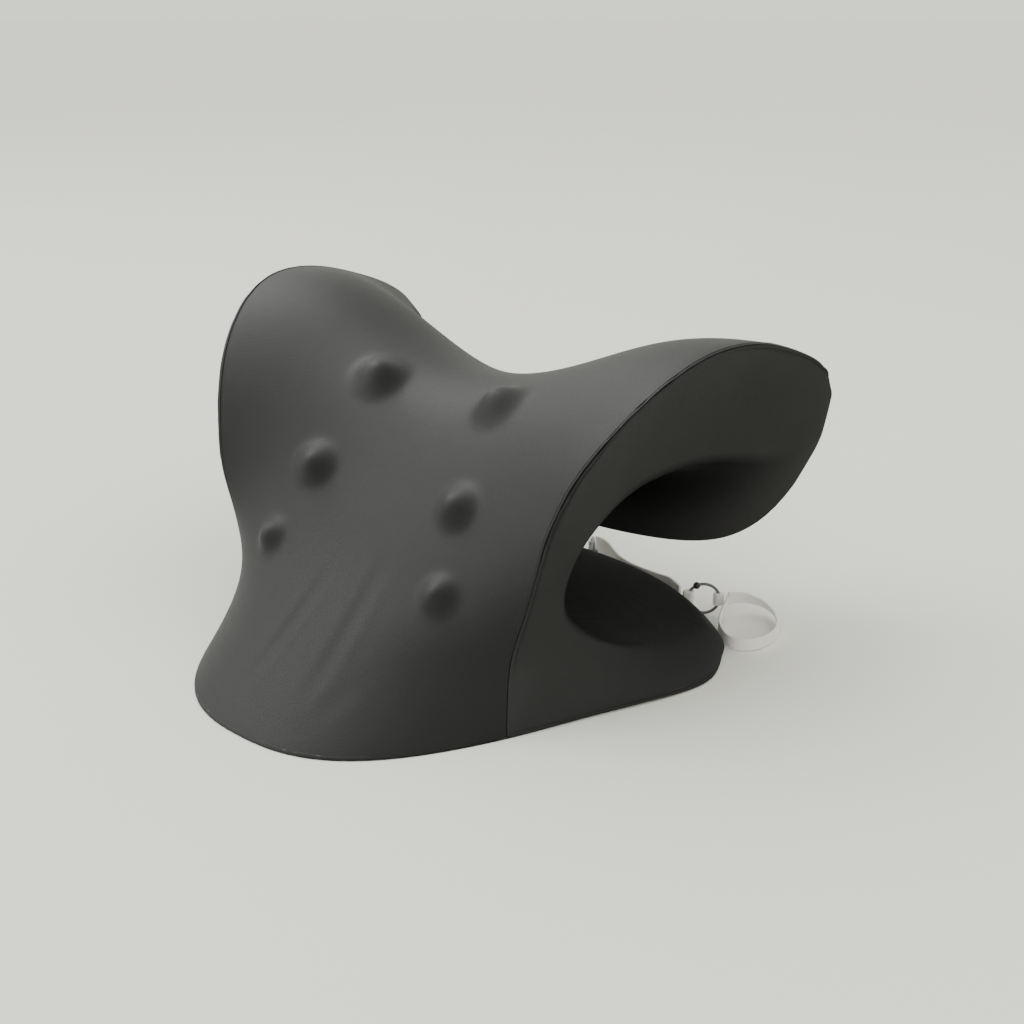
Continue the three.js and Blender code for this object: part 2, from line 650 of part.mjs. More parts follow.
function addStrap() {
  addMesh("strap_tab", foldGeometry(RINGS.tab, -1, HINGE_ROOM), "welt");
  addMesh("tab_ring", ringGeometry(RINGS.tab, WIRE, 6), "metal");
  addMesh("band_fold_tab", foldGeometry(RINGS.tab, 1, WIRE_ROOM), "webbing");
  addMesh("strap_band", ribbon(BAND_ROUTE, BAND, 26), "webbing");
  addMesh("band_fold_link", foldGeometry(RINGS.link, -1, HINGE_ROOM), "webbing");
  addMesh("link_ring", ringGeometry(RINGS.link, WIRE, 6), "metal");
  addMesh("link_ring_bead", beadGeometry(RINGS.link), "nylon");
  addMesh("loop_ferrule", foldGeometry(RINGS.link, 1, WIRE_ROOM), "webbing");
  addMesh("strap_loop", ribbon(LOOP_ROUTE, LOOP, 40), "webbing");
}

addFoamCore();
addDomes();
addFrontPanel();
addSlotPanel();
addBasePanel();
addEdgeWelts();
addBaseWelts();
addZip();
addSlider();
addPull();
addStrap();

export default device;
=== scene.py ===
"""Looks of a C-shaped neck stretcher: a foam body in a sewn stretch cover, with massage domes,
a zip in the slot and a hanging strap on two wire rings. Metres, +Z up, slot towards +Y."""

import json
import math

import bmesh
import bpy
from mathutils import Matrix, Vector, noise
from mathutils.kdtree import KDTree

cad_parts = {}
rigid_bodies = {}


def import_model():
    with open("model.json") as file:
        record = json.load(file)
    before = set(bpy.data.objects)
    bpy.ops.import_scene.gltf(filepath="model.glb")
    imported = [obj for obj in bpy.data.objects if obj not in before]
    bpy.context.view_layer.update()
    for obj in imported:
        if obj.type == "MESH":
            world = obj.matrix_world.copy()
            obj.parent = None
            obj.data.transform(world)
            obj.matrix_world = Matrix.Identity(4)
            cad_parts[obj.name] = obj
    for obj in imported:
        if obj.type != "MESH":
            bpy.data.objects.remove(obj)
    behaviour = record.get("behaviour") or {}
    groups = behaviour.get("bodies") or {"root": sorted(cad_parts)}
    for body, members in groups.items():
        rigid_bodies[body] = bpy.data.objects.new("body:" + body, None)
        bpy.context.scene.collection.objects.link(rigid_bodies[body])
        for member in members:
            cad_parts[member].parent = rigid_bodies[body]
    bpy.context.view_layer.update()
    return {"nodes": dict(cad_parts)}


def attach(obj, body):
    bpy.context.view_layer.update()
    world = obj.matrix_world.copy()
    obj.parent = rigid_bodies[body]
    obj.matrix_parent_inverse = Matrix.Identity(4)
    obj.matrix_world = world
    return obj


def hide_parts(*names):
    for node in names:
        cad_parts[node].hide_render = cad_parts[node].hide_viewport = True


bl_info = {
    "name": "Neck Stretcher Builder",
    "version": (1, 0, 0),
    "blender": (4, 5, 0),
    "location": "3D View > Sidebar > Neck Stretcher",
    "description": "Builds the cover, seams, zip and strap of a foam neck stretcher round its frame",
    "category": "Object",
}

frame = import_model()

MM = 0.001
ORIGIN_Y = 48.2  # mm from the foot of the edge seam back to the frame's origin
BODY = "covered_body"
TAB_BODY = "tab_ring"
LINK_BODY = "link_ring"


# ---------------------------------------------------------------- sizes and colours


def length(name, description, default):
    """A size of a piece, in metres."""
    return bpy.props.FloatProperty(
        name=name, description=description, default=default, unit="LENGTH"
    )


def paint(name, description, default):
    """A colour, as three linear shares of red, green and blue."""
    return bpy.props.FloatVectorProperty(
        name=name, description=description, default=default, size=3, subtype="COLOR"
    )


class CoverSizes(bpy.types.PropertyGroup):
    thickness: length(
        "Fabric thickness", "Thickness of the cover fabric with its bonded backing", 0.0014
    )
    groove: length("Seam groove", "How deep the panels dive into a seam", 0.0006)
    pucker: length("Seam pucker", "Height of the gathers along the edge seams", 0.0005)
    crease: length("Crease depth", "Depth of the soft creases at the foot of the ramp", 0.00055)
    colour: paint("Stretch fabric", "Colour of the knitted stretch fabric", (0.0125, 0.0125, 0.0128))
    # Painted shade: the lining is darkened to this near black deep inside the slot, where shade falls;
    # it is not a fabric of its own.
    slot_painted_shade_colour: paint(
        "Slot lining", "Colour of the brushed black fabric far inside the slot", (0.0006,) * 3
    )
    base_colour: paint("Base fabric", "Colour of the non-slip fabric under the base", (0.008,) * 3)
    thread_colour: paint("Seam tape", "Colour of the seams and of the zip's tape", (0.006,) * 3)


class StrapSizes(bpy.types.PropertyGroup):
    band_width: length("Band width", "Width of the strap between the two rings", 0.0086)
    loop_width: length("Loop width", "Width of the strap in the loop", 0.005)
    wire: length("Ring wire", "Radius of the rings' wire", 0.0006)
    colour: paint("Webbing", "Colour of the woven strap", (0.60, 0.59, 0.56))
    metal_colour: paint("Ring metal", "Colour of the plated rings", (0.05, 0.05, 0.052))


# ---------------------------------------------------------------- shape of the body

# Each station is one section of the beam bent into a C, from the rear rim of the base to the lip
# of the head arm, in mm: outer middle [y, z], outer edge [x, y, z], inner edge, inner middle,
# then the powers from the middle to the side, the crown and the bulge of the side face.
STATIONS = [
    ((119, 0), (96, 94, 0), (92, 92, 13), (119, 14), (3, 1), (3, 2), 1, 4),
    ((97, 0), (103, 74, 0), (86, 77, 10.5), (94, 9.5), (3, 1), (3, 2), 1, 5),
    ((58, 0), (96, 53, 0), (79, 58, 14), (62, 9), (2, 1), (3, 3), 1, 4),
    ((10, 0), (84, 28, 0), (76, 43, 22), (42, 16), (2, 1), (3, 3), 1, 3),
    ((-30, 0), (76, 10, 0), (74, 33, 31), (32, 26), (2.5, 1), (3, 3), 1, 2),
    ((-56, 0), (70.6, 0, 0), (73, 29, 37), (28, 34), (2.6, 1), (3, 3), 1, 2),
    ((-30, 20), (67, 5.6, 23.5), (73, 27.5, 43), (27, 42), (2.1, 2), (3, 3), 1, 2),
    ((-5, 42), (72, 7, 42), (73.5, 29.5, 50), (28.5, 50), (2.4, 2), (3, 3), 1, 1),
    ((11, 59), (77, 6.5, 58), (74.5, 34, 57), (33, 58), (2.2, 2), (3, 3), 1, 0),
    ((21, 69.5), (79.7, 7.6, 70.6), (76, 41, 63.5), (41, 65.5), (2, 2), (3, 3), 1, 0),
    ((33, 82), (85.3, 13.7, 89), (77.5, 51, 69), (51, 71), (2, 2), (3, 3), 1.35, -2),
    ((46, 92.5), (93, 25, 104.5), (79, 62, 72.5), (62, 73.5), (2, 2), (3, 3), 1.9, -4),
    ((65, 98.3), (100, 41, 117), (82, 76, 74), (76, 72), (2, 2), (3, 3), 2.7, -6),
    ((86.5, 94.2), (105, 60, 123.8), (87, 93, 73), (92, 64), (2, 2), (3, 3), 3, -7),
    ((104, 84), (107.5, 85, 123), (92, 110, 70), (105, 52), (2, 2), (3, 4), 2.7, -7),
    ((117, 66), (107.6, 110, 116.3), (96.5, 127, 66), (113, 40), (2.2, 2.2), (3, 5.5), 2, -5),
    ((124, 48), (107, 138.5, 105), (102, 145, 69), (116, 31), (2.4, 2.7), (2.7, 7), 1.6, -2),
    ((124, 38), (105, 152, 90), (104, 152, 76), (118, 25), (2.5, 3.4), (2.5, 8), 1, 0),
]
FOOT = 5  # station where the underside turns up into the ramp
LIP = len(STATIONS) - 1
CAP_ROUND = 3  # mm, bulge of the lip and of the rear rim


def spread(first, last, count):
    """Evenly spaced numbers from first to last, in count steps."""
    return [first + (last - first) * i / count for i in range(count + 1)]


def station_curve(values, start=0, end=LIP):
    """Centripetal Catmull-Rom curve through values[start:end + 1], read at a station number."""
    points = [Vector(v) for v in values[start : end + 1]]
    points = [2 * points[0] - points[1]] + points + [2 * points[-1] - points[-2]]

    def at(k):
        place = min(max(k - start, 0), end - start)
        i = min(int(place), end - start - 1)
        t = place - i
        p0, p1, p2, p3 = points[i : i + 4]
        d1 = math.sqrt((p1 - p2).length)
        d1 = d1 if d1 > 1e-4 else 1
        d0 = math.sqrt((p0 - p1).length)
        d0 = d0 if d0 > 1e-4 else d1
        d2 = math.sqrt((p2 - p3).length)
        d2 = d2 if d2 > 1e-4 else d1
        m1 = ((p1 - p0) / d0 - (p2 - p0) / (d0 + d1) + (p2 - p1) / d1) * d1
        m2 = ((p2 - p1) / d1 - (p3 - p1) / (d1 + d2) + (p3 - p2) / d2) * d1
        a = 2 * p1 - 2 * p2 + m1 + m2
        b = -3 * p1 + 3 * p2 - 2 * m1 - m2
        return ((a * t + b) * t + m1) * t + p1

    return at


def outer_curve(values):
    """The outer curves break at the foot, where the ramp starts."""
    under, above = station_curve(values, 0, FOOT), station_curve(values, FOOT, LIP)
    return lambda k: under(k) if k <= FOOT else above(k)


out_mid = outer_curve([(0, *s[0]) for s in STATIONS])
out_edge = outer_curve([s[1] for s in STATIONS])
in_edge = station_curve([s[2] for s in STATIONS])
in_mid = station_curve([(0, *s[3]) for s in STATIONS])
out_shape = outer_curve([(*s[4], s[6]) for s in STATIONS])
in_shape = station_curve([(*s[5], s[7]) for s in STATIONS])


def across(mid, edge, powers, crown, s):
    """A point of one face of a station: s is 0 in its middle and 1 or -1 at its edges."""
    share = min(1.0, abs(s))
    rise = 1 - (1 - share ** powers[1]) ** crown
    y = mid.y + (edge.y - mid.y) * share ** powers[0]
    return Vector((s * edge.x, y, mid.z + (edge.z - mid.z) * rise))


def outer_point(k, s):
    """A point of the base's underside, the ramp or the front of the head arm, in mm."""
    shape = out_shape(k)
    return across(out_mid(k), out_edge(k), shape, shape[2], s)


def inner_point(k, s):
    """A point of the slot's lining, in mm."""
    return across(in_mid(k), in_edge(k), in_shape(k), 1, s)


def between_point(k, s, r):
    """A point of a side face or an end cap: r is 0 on the outer surface and 1 on the inner one."""
    swell = 4 * r * (1 - r)
    ends = max(0, 1 - k) ** 2 + max(0, k - LIP + 1) ** 2
    point = outer_point(k, s).lerp(inner_point(k, s), r)
    point.x += math.copysign(1, s) * in_shape(k)[2] * swell * abs(s) ** 6
    point.y += CAP_ROUND * ends * swell
    return point


def metres(point):
    """A point given in mm from the foot's seam, in the frame's metres."""
    return Vector((point.x, point.y - ORIGIN_Y, point.z)) * MM


# ---------------------------------------------------------------- the covered body's cage

FRONT, LINING, BASE = 0, 1, 2
ZIP_ROWS = (5.93, 7.08)  # stations of the opening in the slot's lining
ZIP_SPAN = 0.655  # half the opening, as a share of the half width
UNDER_ROWS = [0, 0.12, 0.5, 1, 1.6, 2.3, 3, 3.7, 4.4, 4.9]
RAMP_ROWS = [5, 5.12, 5.5, ZIP_ROWS[0], 6.3, 6.7, ZIP_ROWS[1], 7.5, 8, 8.5, 9, 9.5, 10, 10.5]
ARM_ROWS = [11, 11.5, 12, 12.5, 13, 13.5, 14, 14.5, 15, 15.5, 16, 16.5, 16.88, 17]
ROWS = UNDER_ROWS + RAMP_ROWS + ARM_ROWS
HALF_COLUMNS = [0.11, 0.22, 0.33, 0.44, 0.55, ZIP_SPAN, 0.76, 0.87, 0.965, 1]
COLUMNS = [-s for s in reversed(HALF_COLUMNS)] + [0] + HALF_COLUMNS
SIDE_STEPS = [0, 0.07, 0.25, 0.5, 0.75, 0.93, 1]
# Stations between which the painted shade on the slot's lining deepens to near black, from the base's
# end and from the lip.
DEPTH_FROM_BASE, DEPTH_FROM_LIP = (1.2, 3.0), (16.4, 13.2)


def painted_slot_shade(k):
    """How far inside the slot a station lies: 0 at its open end and 1 deep in. This sets how much
    painted shade darkens the lining there.
    """
    shares = [(k - start) / (end - start) for start, end in (DEPTH_FROM_BASE, DEPTH_FROM_LIP)]
    share = min(max(min(shares), 0), 1)
    return share * share * (3 - 2 * share)


def body_cage():
    """The whole covered body as one closed cage. A face's material index says which panel it is."""
    mesh = bmesh.new()
    # This attribute carries the painted shade that darkens the lining deep inside the slot.
    layer = mesh.verts.layers.float.new("painted_slot_shade")
    known = {}

    def vertex(point, depth):
        key = tuple(round(c * 1e3) for c in point)
        if key not in known:
            known[key] = mesh.verts.new(metres(point))
            known[key][layer] = depth
        return known[key]

    def patch(rows, columns, point_of, panel, flip=False, skip=None, depth_of=lambda k: 0):
        grid = [[vertex(point_of(a, b), depth_of(a)) for b in columns] for a in rows]
        for i in range(len(rows) - 1):
            for j in range(len(columns) - 1):
                if skip and skip(rows[i], columns[j]):
                    continue
                ring = [grid[i][j], grid[i][j + 1], grid[i + 1][j + 1], grid[i + 1][j]]
                ring = list(dict.fromkeys(ring))
                if len(ring) > 2:
                    face = mesh.faces.new(reversed(ring) if flip else ring)
                    face.material_index = panel

    def zip_hole(k, s):
        return ZIP_ROWS[0] <= k < ZIP_ROWS[1] and -ZIP_SPAN <= s < ZIP_SPAN

    patch(UNDER_ROWS + [FOOT], COLUMNS, outer_point, BASE)
    patch(RAMP_ROWS + ARM_ROWS, COLUMNS, outer_point, FRONT)
    patch(ROWS, COLUMNS, inner_point, LINING, True, zip_hole, painted_slot_shade)
    patch(ROWS, SIDE_STEPS, lambda k, r: between_point(k, 1, r), LINING)
    patch(ROWS, SIDE_STEPS, lambda k, r: between_point(k, -1, r), LINING, True)
    patch(COLUMNS, SIDE_STEPS, lambda s, r: between_point(0, s, r), LINING)
    patch(COLUMNS, SIDE_STEPS, lambda s, r: between_point(LIP, s, r), LINING, True)
    data = bpy.data.meshes.new("body_cage")
    mesh.to_mesh(data)
    mesh.free()
    return data


def smooth_body(levels):
    """The cage after subdivision, with its soft edges rounded, as a bmesh."""
    cage = bpy.data.objects.new("body_cage", body_cage())
    bpy.context.scene.collection.objects.link(cage)
    subdivide(cage, levels)
    graph = bpy.context.evaluated_depsgraph_get()
    result = bmesh.new()
    result.from_object(cage, graph)
    data = cage.data
    bpy.data.objects.remove(cage)
    bpy.data.meshes.remove(data)
    soften_slot_edge(result)
    result.normal_update()
    return result


# How far from an edge its rounding reaches, in how many rounds, and how far each round goes.
SOFT_REACH, SOFT_ROUNDS, SOFT_SHARE = 16 * MM, 60, 0.6
CORNER_REACH, CORNER_ROUNDS, CORNER_SHARE = 13 * MM, 14, 0.5
SOFT_STATIONS = ((2.5, 1.2), (11.6, 13.4))  # where the slot's edge turns from crisp to soft
EDGE_SAMPLES = 170


def nearest_finder(points):
    """A tree that finds the nearest of some points, by its number."""
    tree = KDTree(len(points))
    for i, point in enumerate(points):
        tree.insert(point, i)
    tree.balance()
    return tree


def fade_out(distance, reach):
    """1 at no distance, falling smoothly to 0 at reach."""
    return math.cos(math.pi / 2 * distance / reach) ** 2


def relax(weights, rounds):
    """Moves each vertex towards the middle of its neighbours, by its own weight each round."""
    for _ in range(rounds):
        moved = {}
        for v, weight in weights.items():
            around = [edge.other_vert(v).co for edge in v.link_edges]
            moved[v] = v.co.lerp(sum(around, Vector()) / len(around), weight)
        for v, place in moved.items():
            v.co = place


def soften_slot_edge(mesh):
    """Rounds the edge between the sides and the slot, towards the lip and towards the base's end,
    and the two corners of the lip."""
    rows = spread(0, LIP, EDGE_SAMPLES)
    tree = nearest_finder([metres(in_edge(k)) for k in rows])
    corner = metres(outer_point(LIP, 1))
    edge_weights, corner_weights = {}, {}
    for v in mesh.verts:
        place = Vector((abs(v.co.x), v.co.y, v.co.z))
        from_corner = (place - corner).length
        if from_corner < CORNER_REACH:
            corner_weights[v] = CORNER_SHARE * math.cos(math.pi / 2 * from_corner / CORNER_REACH)
        if any(face.material_index != LINING for face in v.link_faces):
            continue
        _, i, distance = tree.find(place)
        if distance < SOFT_REACH:
            shares = [(rows[i] - crisp) / (soft - crisp) for crisp, soft in SOFT_STATIONS]
            share = min(max(max(shares), 0), 1)
            edge_weights[v] = SOFT_SHARE * share * fade_out(distance, SOFT_REACH)
    relax(edge_weights, SOFT_ROUNDS)
    relax(corner_weights, CORNER_ROUNDS)


# ---------------------------------------------------------------- swellings, creases and gathers

# Centre on the ramp (x in mm, station), foot radius and height in mm.
DOMES = [(29.2, 11.15, 13, 7), (34.8, 8.85, 11, 6.2), (41, 7.1, 9, 5.2)]


def dome_frames():
    """Middle, outward direction, foot radius and height of each swelling, in metres."""
    frames, step = [], 0.01
    for x, station, foot, height in DOMES:
        for side in (1, -1):
            s = side * x / out_edge(station).x
            along = outer_point(station + step, s) - outer_point(station - step, s)
            over = outer_point(station, s + step) - outer_point(station, s - step)
            normal = over.cross(along).normalized()
            middle = metres(outer_point(station, s))
            frames.append((middle, normal, foot * MM, height * MM))
    return frames


def swelling(distance, foot, height):
    """How far a dome lifts the fabric at a distance from its middle."""
    return height * fade_out(distance, foot) if distance < foot else 0


# Soft creases on the ramp: start and end as (x in mm, station), share of the depth and half
# width in mm.
CREASES = [
    ((-5.8, 7.0), (-11.5, 5.45), 1.0, 2.6),
    ((14.6, 7.45), (15.2, 5.6), 0.8, 3.0),
    ((30, 5.95), (21, 5.3), 0.25, 3.4),
]
CREASE_STEPS = 4
# The raised bank beside a crease: its height, and its place and width in half widths.
BANK_HEIGHT, BANK_PLACE, BANK_WIDTH = 0.4, 1.7, 0.7
CREASE_REACH = 3.4  # half widths


def crease_lines():
    """The middle line of each crease, its share of the depth and its half width, in metres."""
    lines = []
    for start, end, share, half in CREASES:
        points = []
        for t in spread(0, 1, CREASE_STEPS):
            x = start[0] + (end[0] - start[0]) * t
            k = start[1] + (end[1] - start[1]) * t
            points.append(metres(outer_point(k, x / out_edge(k).x)))
        lines.append((points, share, half * MM))
    return lines


def line_distance(point, points):
    """(distance from a bent line, how far along it from 0 to 1)."""
    best = (1e9, 0)
    for i in range(len(points) - 1):
        step = points[i + 1] - points[i]
        t = min(max((point - points[i]).dot(step) / step.length_squared, 0), 1)
        distance = (point - points[i] - step * t).length
        if distance < best[0]:
            best = (distance, (i + t) / (len(points) - 1))
    return best


def hill(distance, middle, width):
    """A smooth bump of height 1."""
    return math.exp(-(((distance - middle) / width) ** 2))


def crease_depth(point, lines, depth):
    """How far the creases move a point of the ramp outwards."""
    total = 0
    for points, share, half in lines:
        distance, t = line_distance(point, points)
        if distance < CREASE_REACH * half:
            ends = math.sin(math.pi * min(max(t, 0.02), 0.98)) ** 0.7
            valley = hill(distance, 0, half)
            bank = BANK_HEIGHT * hill(distance, BANK_PLACE * half, BANK_WIDTH * half)
            total += depth * share * ends * (bank - valley)
    return total


GATHERS = (8.2, 14.2)  # stations between which the edge seams gather
EVEN_GATHER = 0.1  # how much they gather elsewhere
LEFT_GATHER = 0.25  # the left edge gathers by this much of what the right one does
SEAM_STEP = 0.05  # stations


def gather_share(k):
    """How much the right edge seam gathers at a station, from 0 to 1."""
    first, last = GATHERS
    if not first < k < last:
        return EVEN_GATHER
    return EVEN_GATHER + (1 - EVEN_GATHER) * math.sin(math.pi * (k - first) / (last - first)) ** 0.6


def seam_lines():
    """Points of the edge seams, with how much each one gathers and its station."""
    points = []
    for side in (1, -1):
        k = FOOT
        while k <= LIP:
            share = gather_share(k) * (1 if side == 1 else LEFT_GATHER)
            points.append((metres(outer_point(k, side)), share, k))
            k += SEAM_STEP
    return points


# ---------------------------------------------------------------- small makers


def add_object(name, data, body):
    """An object in the scene that moves with a body of the frame."""
    made = bpy.data.objects.new(name, data)
    bpy.context.scene.collection.objects.link(made)
    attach(made, body)
    return made


def add_mesh(name, build, body, smooth=True):
    """A mesh object from a function that fills a bmesh."""
    mesh = bmesh.new()
    build(mesh)
    data = bpy.data.meshes.new(name)
    mesh.to_mesh(data)
    mesh.free()
    for polygon in data.polygons:
        polygon.use_smooth = smooth
    return add_object(name, data, body)


def subdivide(piece, levels):
    """Smooths a piece by subdivision."""
    stack = piece.modifiers.new("Subdivision", "SUBSURF")
    stack.levels = stack.render_levels = levels


def bevel(piece, width, segments=2):
    """Rounds a piece's sharp edges."""
    stack = piece.modifiers.new("Bevel", "BEVEL")
    stack.width = width
    stack.segments = segments
    stack.limit_method = "ANGLE"


def skin(mesh, rings):
    """Joins each ring of vertices to the next with four-sided faces."""
    for first, second in zip(rings, rings[1:]):
        for j in range(len(first)):
            following = (j + 1) % len(first)
            mesh.faces.new([first[j], first[following], second[following], second[j]])


def close_skin(mesh, rings):
    """Skins a row of rings, caps both its ends and turns the faces outwards."""
    skin(mesh, rings)
    mesh.faces.new(rings[0])
    mesh.faces.new(rings[-1])
    bmesh.ops.recalc_face_normals(mesh, faces=mesh.faces)


def coat(piece, finish):
    """Gives a piece one finish."""
    piece.data.materials.clear()
    piece.data.materials.append(finish)


def dress(piece, finish):
    """Gives a piece its finish."""
    coat(piece, finish)


MERGE = 1e-6  # m, distance within which two vertices are one


def tube(name, points, radius, body, closed=False, resolution=3):
    """A round cord along points, swept by a curve's own bevel and made a mesh."""
    data = bpy.data.curves.new(name, "CURVE")
    data.dimensions = "3D"
    data.bevel_depth = radius
    data.bevel_resolution = resolution
    data.use_fill_caps = not closed
    data.resolution_u = data.render_resolution_u = 4
    line = data.splines.new("NURBS")
    line.points.add(len(points) - 1)
    for spot, point in zip(line.points, points):
        spot.co = (*point, 1)
    line.use_cyclic_u = closed
    line.use_endpoint_u = not closed
    line.order_u = 4
    maker = bpy.data.objects.new(name, data)
    bpy.context.scene.collection.objects.link(maker)
    graph = bpy.context.evaluated_depsgraph_get()
    swept = bmesh.new()
    swept.from_mesh(bpy.data.meshes.new_from_object(maker.evaluated_get(graph)))
    bpy.data.objects.remove(maker)
    bpy.data.curves.remove(data)

    def build(mesh):
        bmesh.ops.remove_doubles(swept, verts=swept.verts, dist=MERGE)
        bmesh.ops.recalc_face_normals(swept, faces=swept.faces)
        copies = [mesh.verts.new(v.co) for v in swept.verts]
        for face in swept.faces:
            mesh.faces.new([copies[v.index] for v in face.verts])

    piece = add_mesh(name, build, body)
    swept.free()
    return piece


# ---------------------------------------------------------------- materials

MIX_FIRST, MIX_SECOND, MIX_RESULT = 6, 7, 2  # a Mix node's colour sockets


class Graph:
    """A short way to make the nodes of one material."""

    def __init__(self, name):
        self.material = bpy.data.materials.new(name)
        self.material.use_nodes = True
        self.tree = self.material.node_tree
        self.shader = self.tree.nodes["Principled BSDF"]

    def node(self, kind, **settings):
        made = self.tree.nodes.new("ShaderNode" + kind)
        for key, value in settings.items():
            setattr(made, key, value)
        return made

    def link(self, source, target):
        self.tree.links.new(source, target)

    def coordinates(self, output="Object", scale=(1, 1, 1), turn=0):
        place = self.node("TexCoord")
        mapping = self.node("Mapping")
        mapping.inputs["Scale"].default_value = scale
        mapping.inputs["Rotation"].default_value = (0, 0, turn)
        self.link(place.outputs[output], mapping.inputs["Vector"])
        return mapping.outputs["Vector"]

    def noise(self, vector, scale, detail=2.0):
        made = self.node("TexNoise")
        made.inputs["Scale"].default_value = scale
        made.inputs["Detail"].default_value = detail
        self.link(vector, made.inputs["Vector"])
        return made.outputs["Fac"]

    def wave(self, vector, scale, direction, distortion=0.0):
        made = self.node("TexWave", bands_direction=direction)
        made.inputs["Scale"].default_value = scale
        made.inputs["Distortion"].default_value = distortion
        self.link(vector, made.inputs["Vector"])
        return made.outputs["Fac"]

    def maths(self, operation, first, second):
        made = self.node("Math", operation=operation)
        for socket, value in zip(made.inputs, (first, second)):
            if isinstance(value, (int, float)):
                socket.default_value = value
            else:
                self.link(value, socket)
        return made.outputs[0]

    def ramp(self, source, low, high):
        made = self.node("ValToRGB")
        for stop, (place, colour) in zip(made.color_ramp.elements, (low, high)):
            stop.position = place
            stop.color = (*colour, 1)
        self.link(source, made.inputs["Fac"])
        return made.outputs["Color"]

    def span(self, source, low, high):
        made = self.node("MapRange")
        made.inputs["To Min"].default_value = low
        made.inputs["To Max"].default_value = high
        self.link(source, made.inputs["Value"])
        return made.outputs["Result"]

    def bump(self, height, distance, strength=1.0, before=None):
        made = self.node("Bump")
        made.inputs["Distance"].default_value = distance
        made.inputs["Strength"].default_value = strength
        self.link(height, made.inputs["Height"])
        if before is not None:
            self.link(before, made.inputs["Normal"])
        return made.outputs["Normal"]

    def finish(self, colour, roughness, normal, **constant):
        self.link(colour, self.shader.inputs["Base Color"])
        if isinstance(roughness, (int, float)):
            self.shader.inputs["Roughness"].default_value = roughness
        else:
            self.link(roughness, self.shader.inputs["Roughness"])
        if normal is not None:
            self.link(normal, self.shader.inputs["Normal"])
        for key, value in constant.items():
            self.shader.inputs[key.replace("_", " ")].default_value = value
        return self.material


def shade(colour, factor):
    """A paler or darker shade of a colour."""
    return tuple(min(1, c * factor) for c in colour)


def knit_material(name, colour, deep_painted_shade_colour=None):
    """Smooth knitted stretch fabric: fine ribs and a soft mottle. With a deep colour, it turns to
    that colour as the surface's attribute for depth in the slot goes to 1: painted shade deep in the
    slot."""
    graph = Graph(name)
    place = graph.coordinates()
    mottle = graph.noise(place, 28, 3)
    patches = graph.noise(place, 9, 2)
    fine_share, broad_share = 0.45, 0.55
    both = graph.maths(
        "ADD",
        graph.maths("MULTIPLY", mottle, fine_share),
        graph.maths("MULTIPLY", patches, broad_share),
    )
    tone = graph.ramp(both, (0.36, shade(colour, 0.86)), (0.66, shade(colour, 1.14)))
    ribs = graph.wave(graph.coordinates(turn=0.6), 900, "X", 1.5)
    courses = graph.wave(graph.coordinates(turn=-0.4), 760, "Z", 1.5)
    fibres = graph.maths("MULTIPLY", graph.noise(place, 2600, 2), 0.6)
    weave = graph.maths("ADD", graph.maths("MULTIPLY", ribs, courses), fibres)
    if deep_painted_shade_colour:
        # Painted shade: the fabric is darkened to the deep colour where the surface lies deep inside
        # the slot.
        depth = graph.node("Attribute", attribute_name="painted_slot_shade")
        mix = graph.node("Mix", data_type="RGBA")
        graph.link(depth.outputs["Fac"], mix.inputs["Factor"])
        graph.link(tone, mix.inputs[MIX_FIRST])
        mix.inputs[MIX_SECOND].default_value = (*deep_painted_shade_colour, 1)
        tone = mix.outputs[MIX_RESULT]
    fine = graph.bump(weave, 0.00005, 0.55)
    normal = graph.bump(graph.noise(place, 60, 2), 0.0004, 0.35, fine)
    rough = graph.span(mottle, 0.5, 0.62)
    return graph.finish(
        tone,
        rough,
        normal,
        Sheen_Weight=0.0 if deep_painted_shade_colour else 0.02,
        Sheen_Roughness=0.5,
        Specular_IOR_Level=0.02 if deep_painted_shade_colour else 0.13,
    )


def grip_material(name, colour):
    """Non-slip base fabric: rows of small raised dots on a close weave."""
    graph = Graph(name)
    place = graph.coordinates()
    dots = graph.node("TexVoronoi", feature="F1")
    dots.inputs["Scale"].default_value = 260
    dots.inputs["Randomness"].default_value = 0.0
    graph.link(place, dots.inputs["Vector"])
    raised = graph.ramp(dots.outputs["Distance"], (0.28, (1, 1, 1)), (0.42, (0, 0, 0)))
    weave = graph.maths("MULTIPLY", graph.wave(place, 700, "X"), graph.wave(place, 700, "Y"))
    height = graph.maths("ADD", raised, graph.maths("MULTIPLY", weave, 0.3))
    tone = graph.ramp(raised, (0, colour), (1, shade(colour, 2.2)))
    rough = graph.span(raised, 0.9, 0.5)
    return graph.finish(tone, rough, graph.bump(height, 0.0003, 0.7))


def woven_material(name, colour, roughness=0.7, scale=900, sheen=0.1):
    """Close woven tape: threads over and under in two directions."""
    graph = Graph(name)
    place = graph.coordinates()
    warp = graph.wave(place, scale, "X", 0.4)
    weft = graph.wave(place, scale, "Z", 0.4)
    cross = graph.wave(place, scale, "Y", 0.4)
    crossing = graph.maths("MULTIPLY", cross, 0.5)
    weave = graph.maths("ADD", graph.maths("MULTIPLY", warp, weft), crossing)
    mottle = graph.noise(place, 120, 3)
    tone = graph.ramp(mottle, (0.35, shade(colour, 0.85)), (0.65, shade(colour, 1.12)))
    rough = graph.span(mottle, roughness - 0.06, roughness + 0.06)
    return graph.finish(tone, rough, graph.bump(weave, 0.00008, 0.6), Sheen_Weight=sheen)


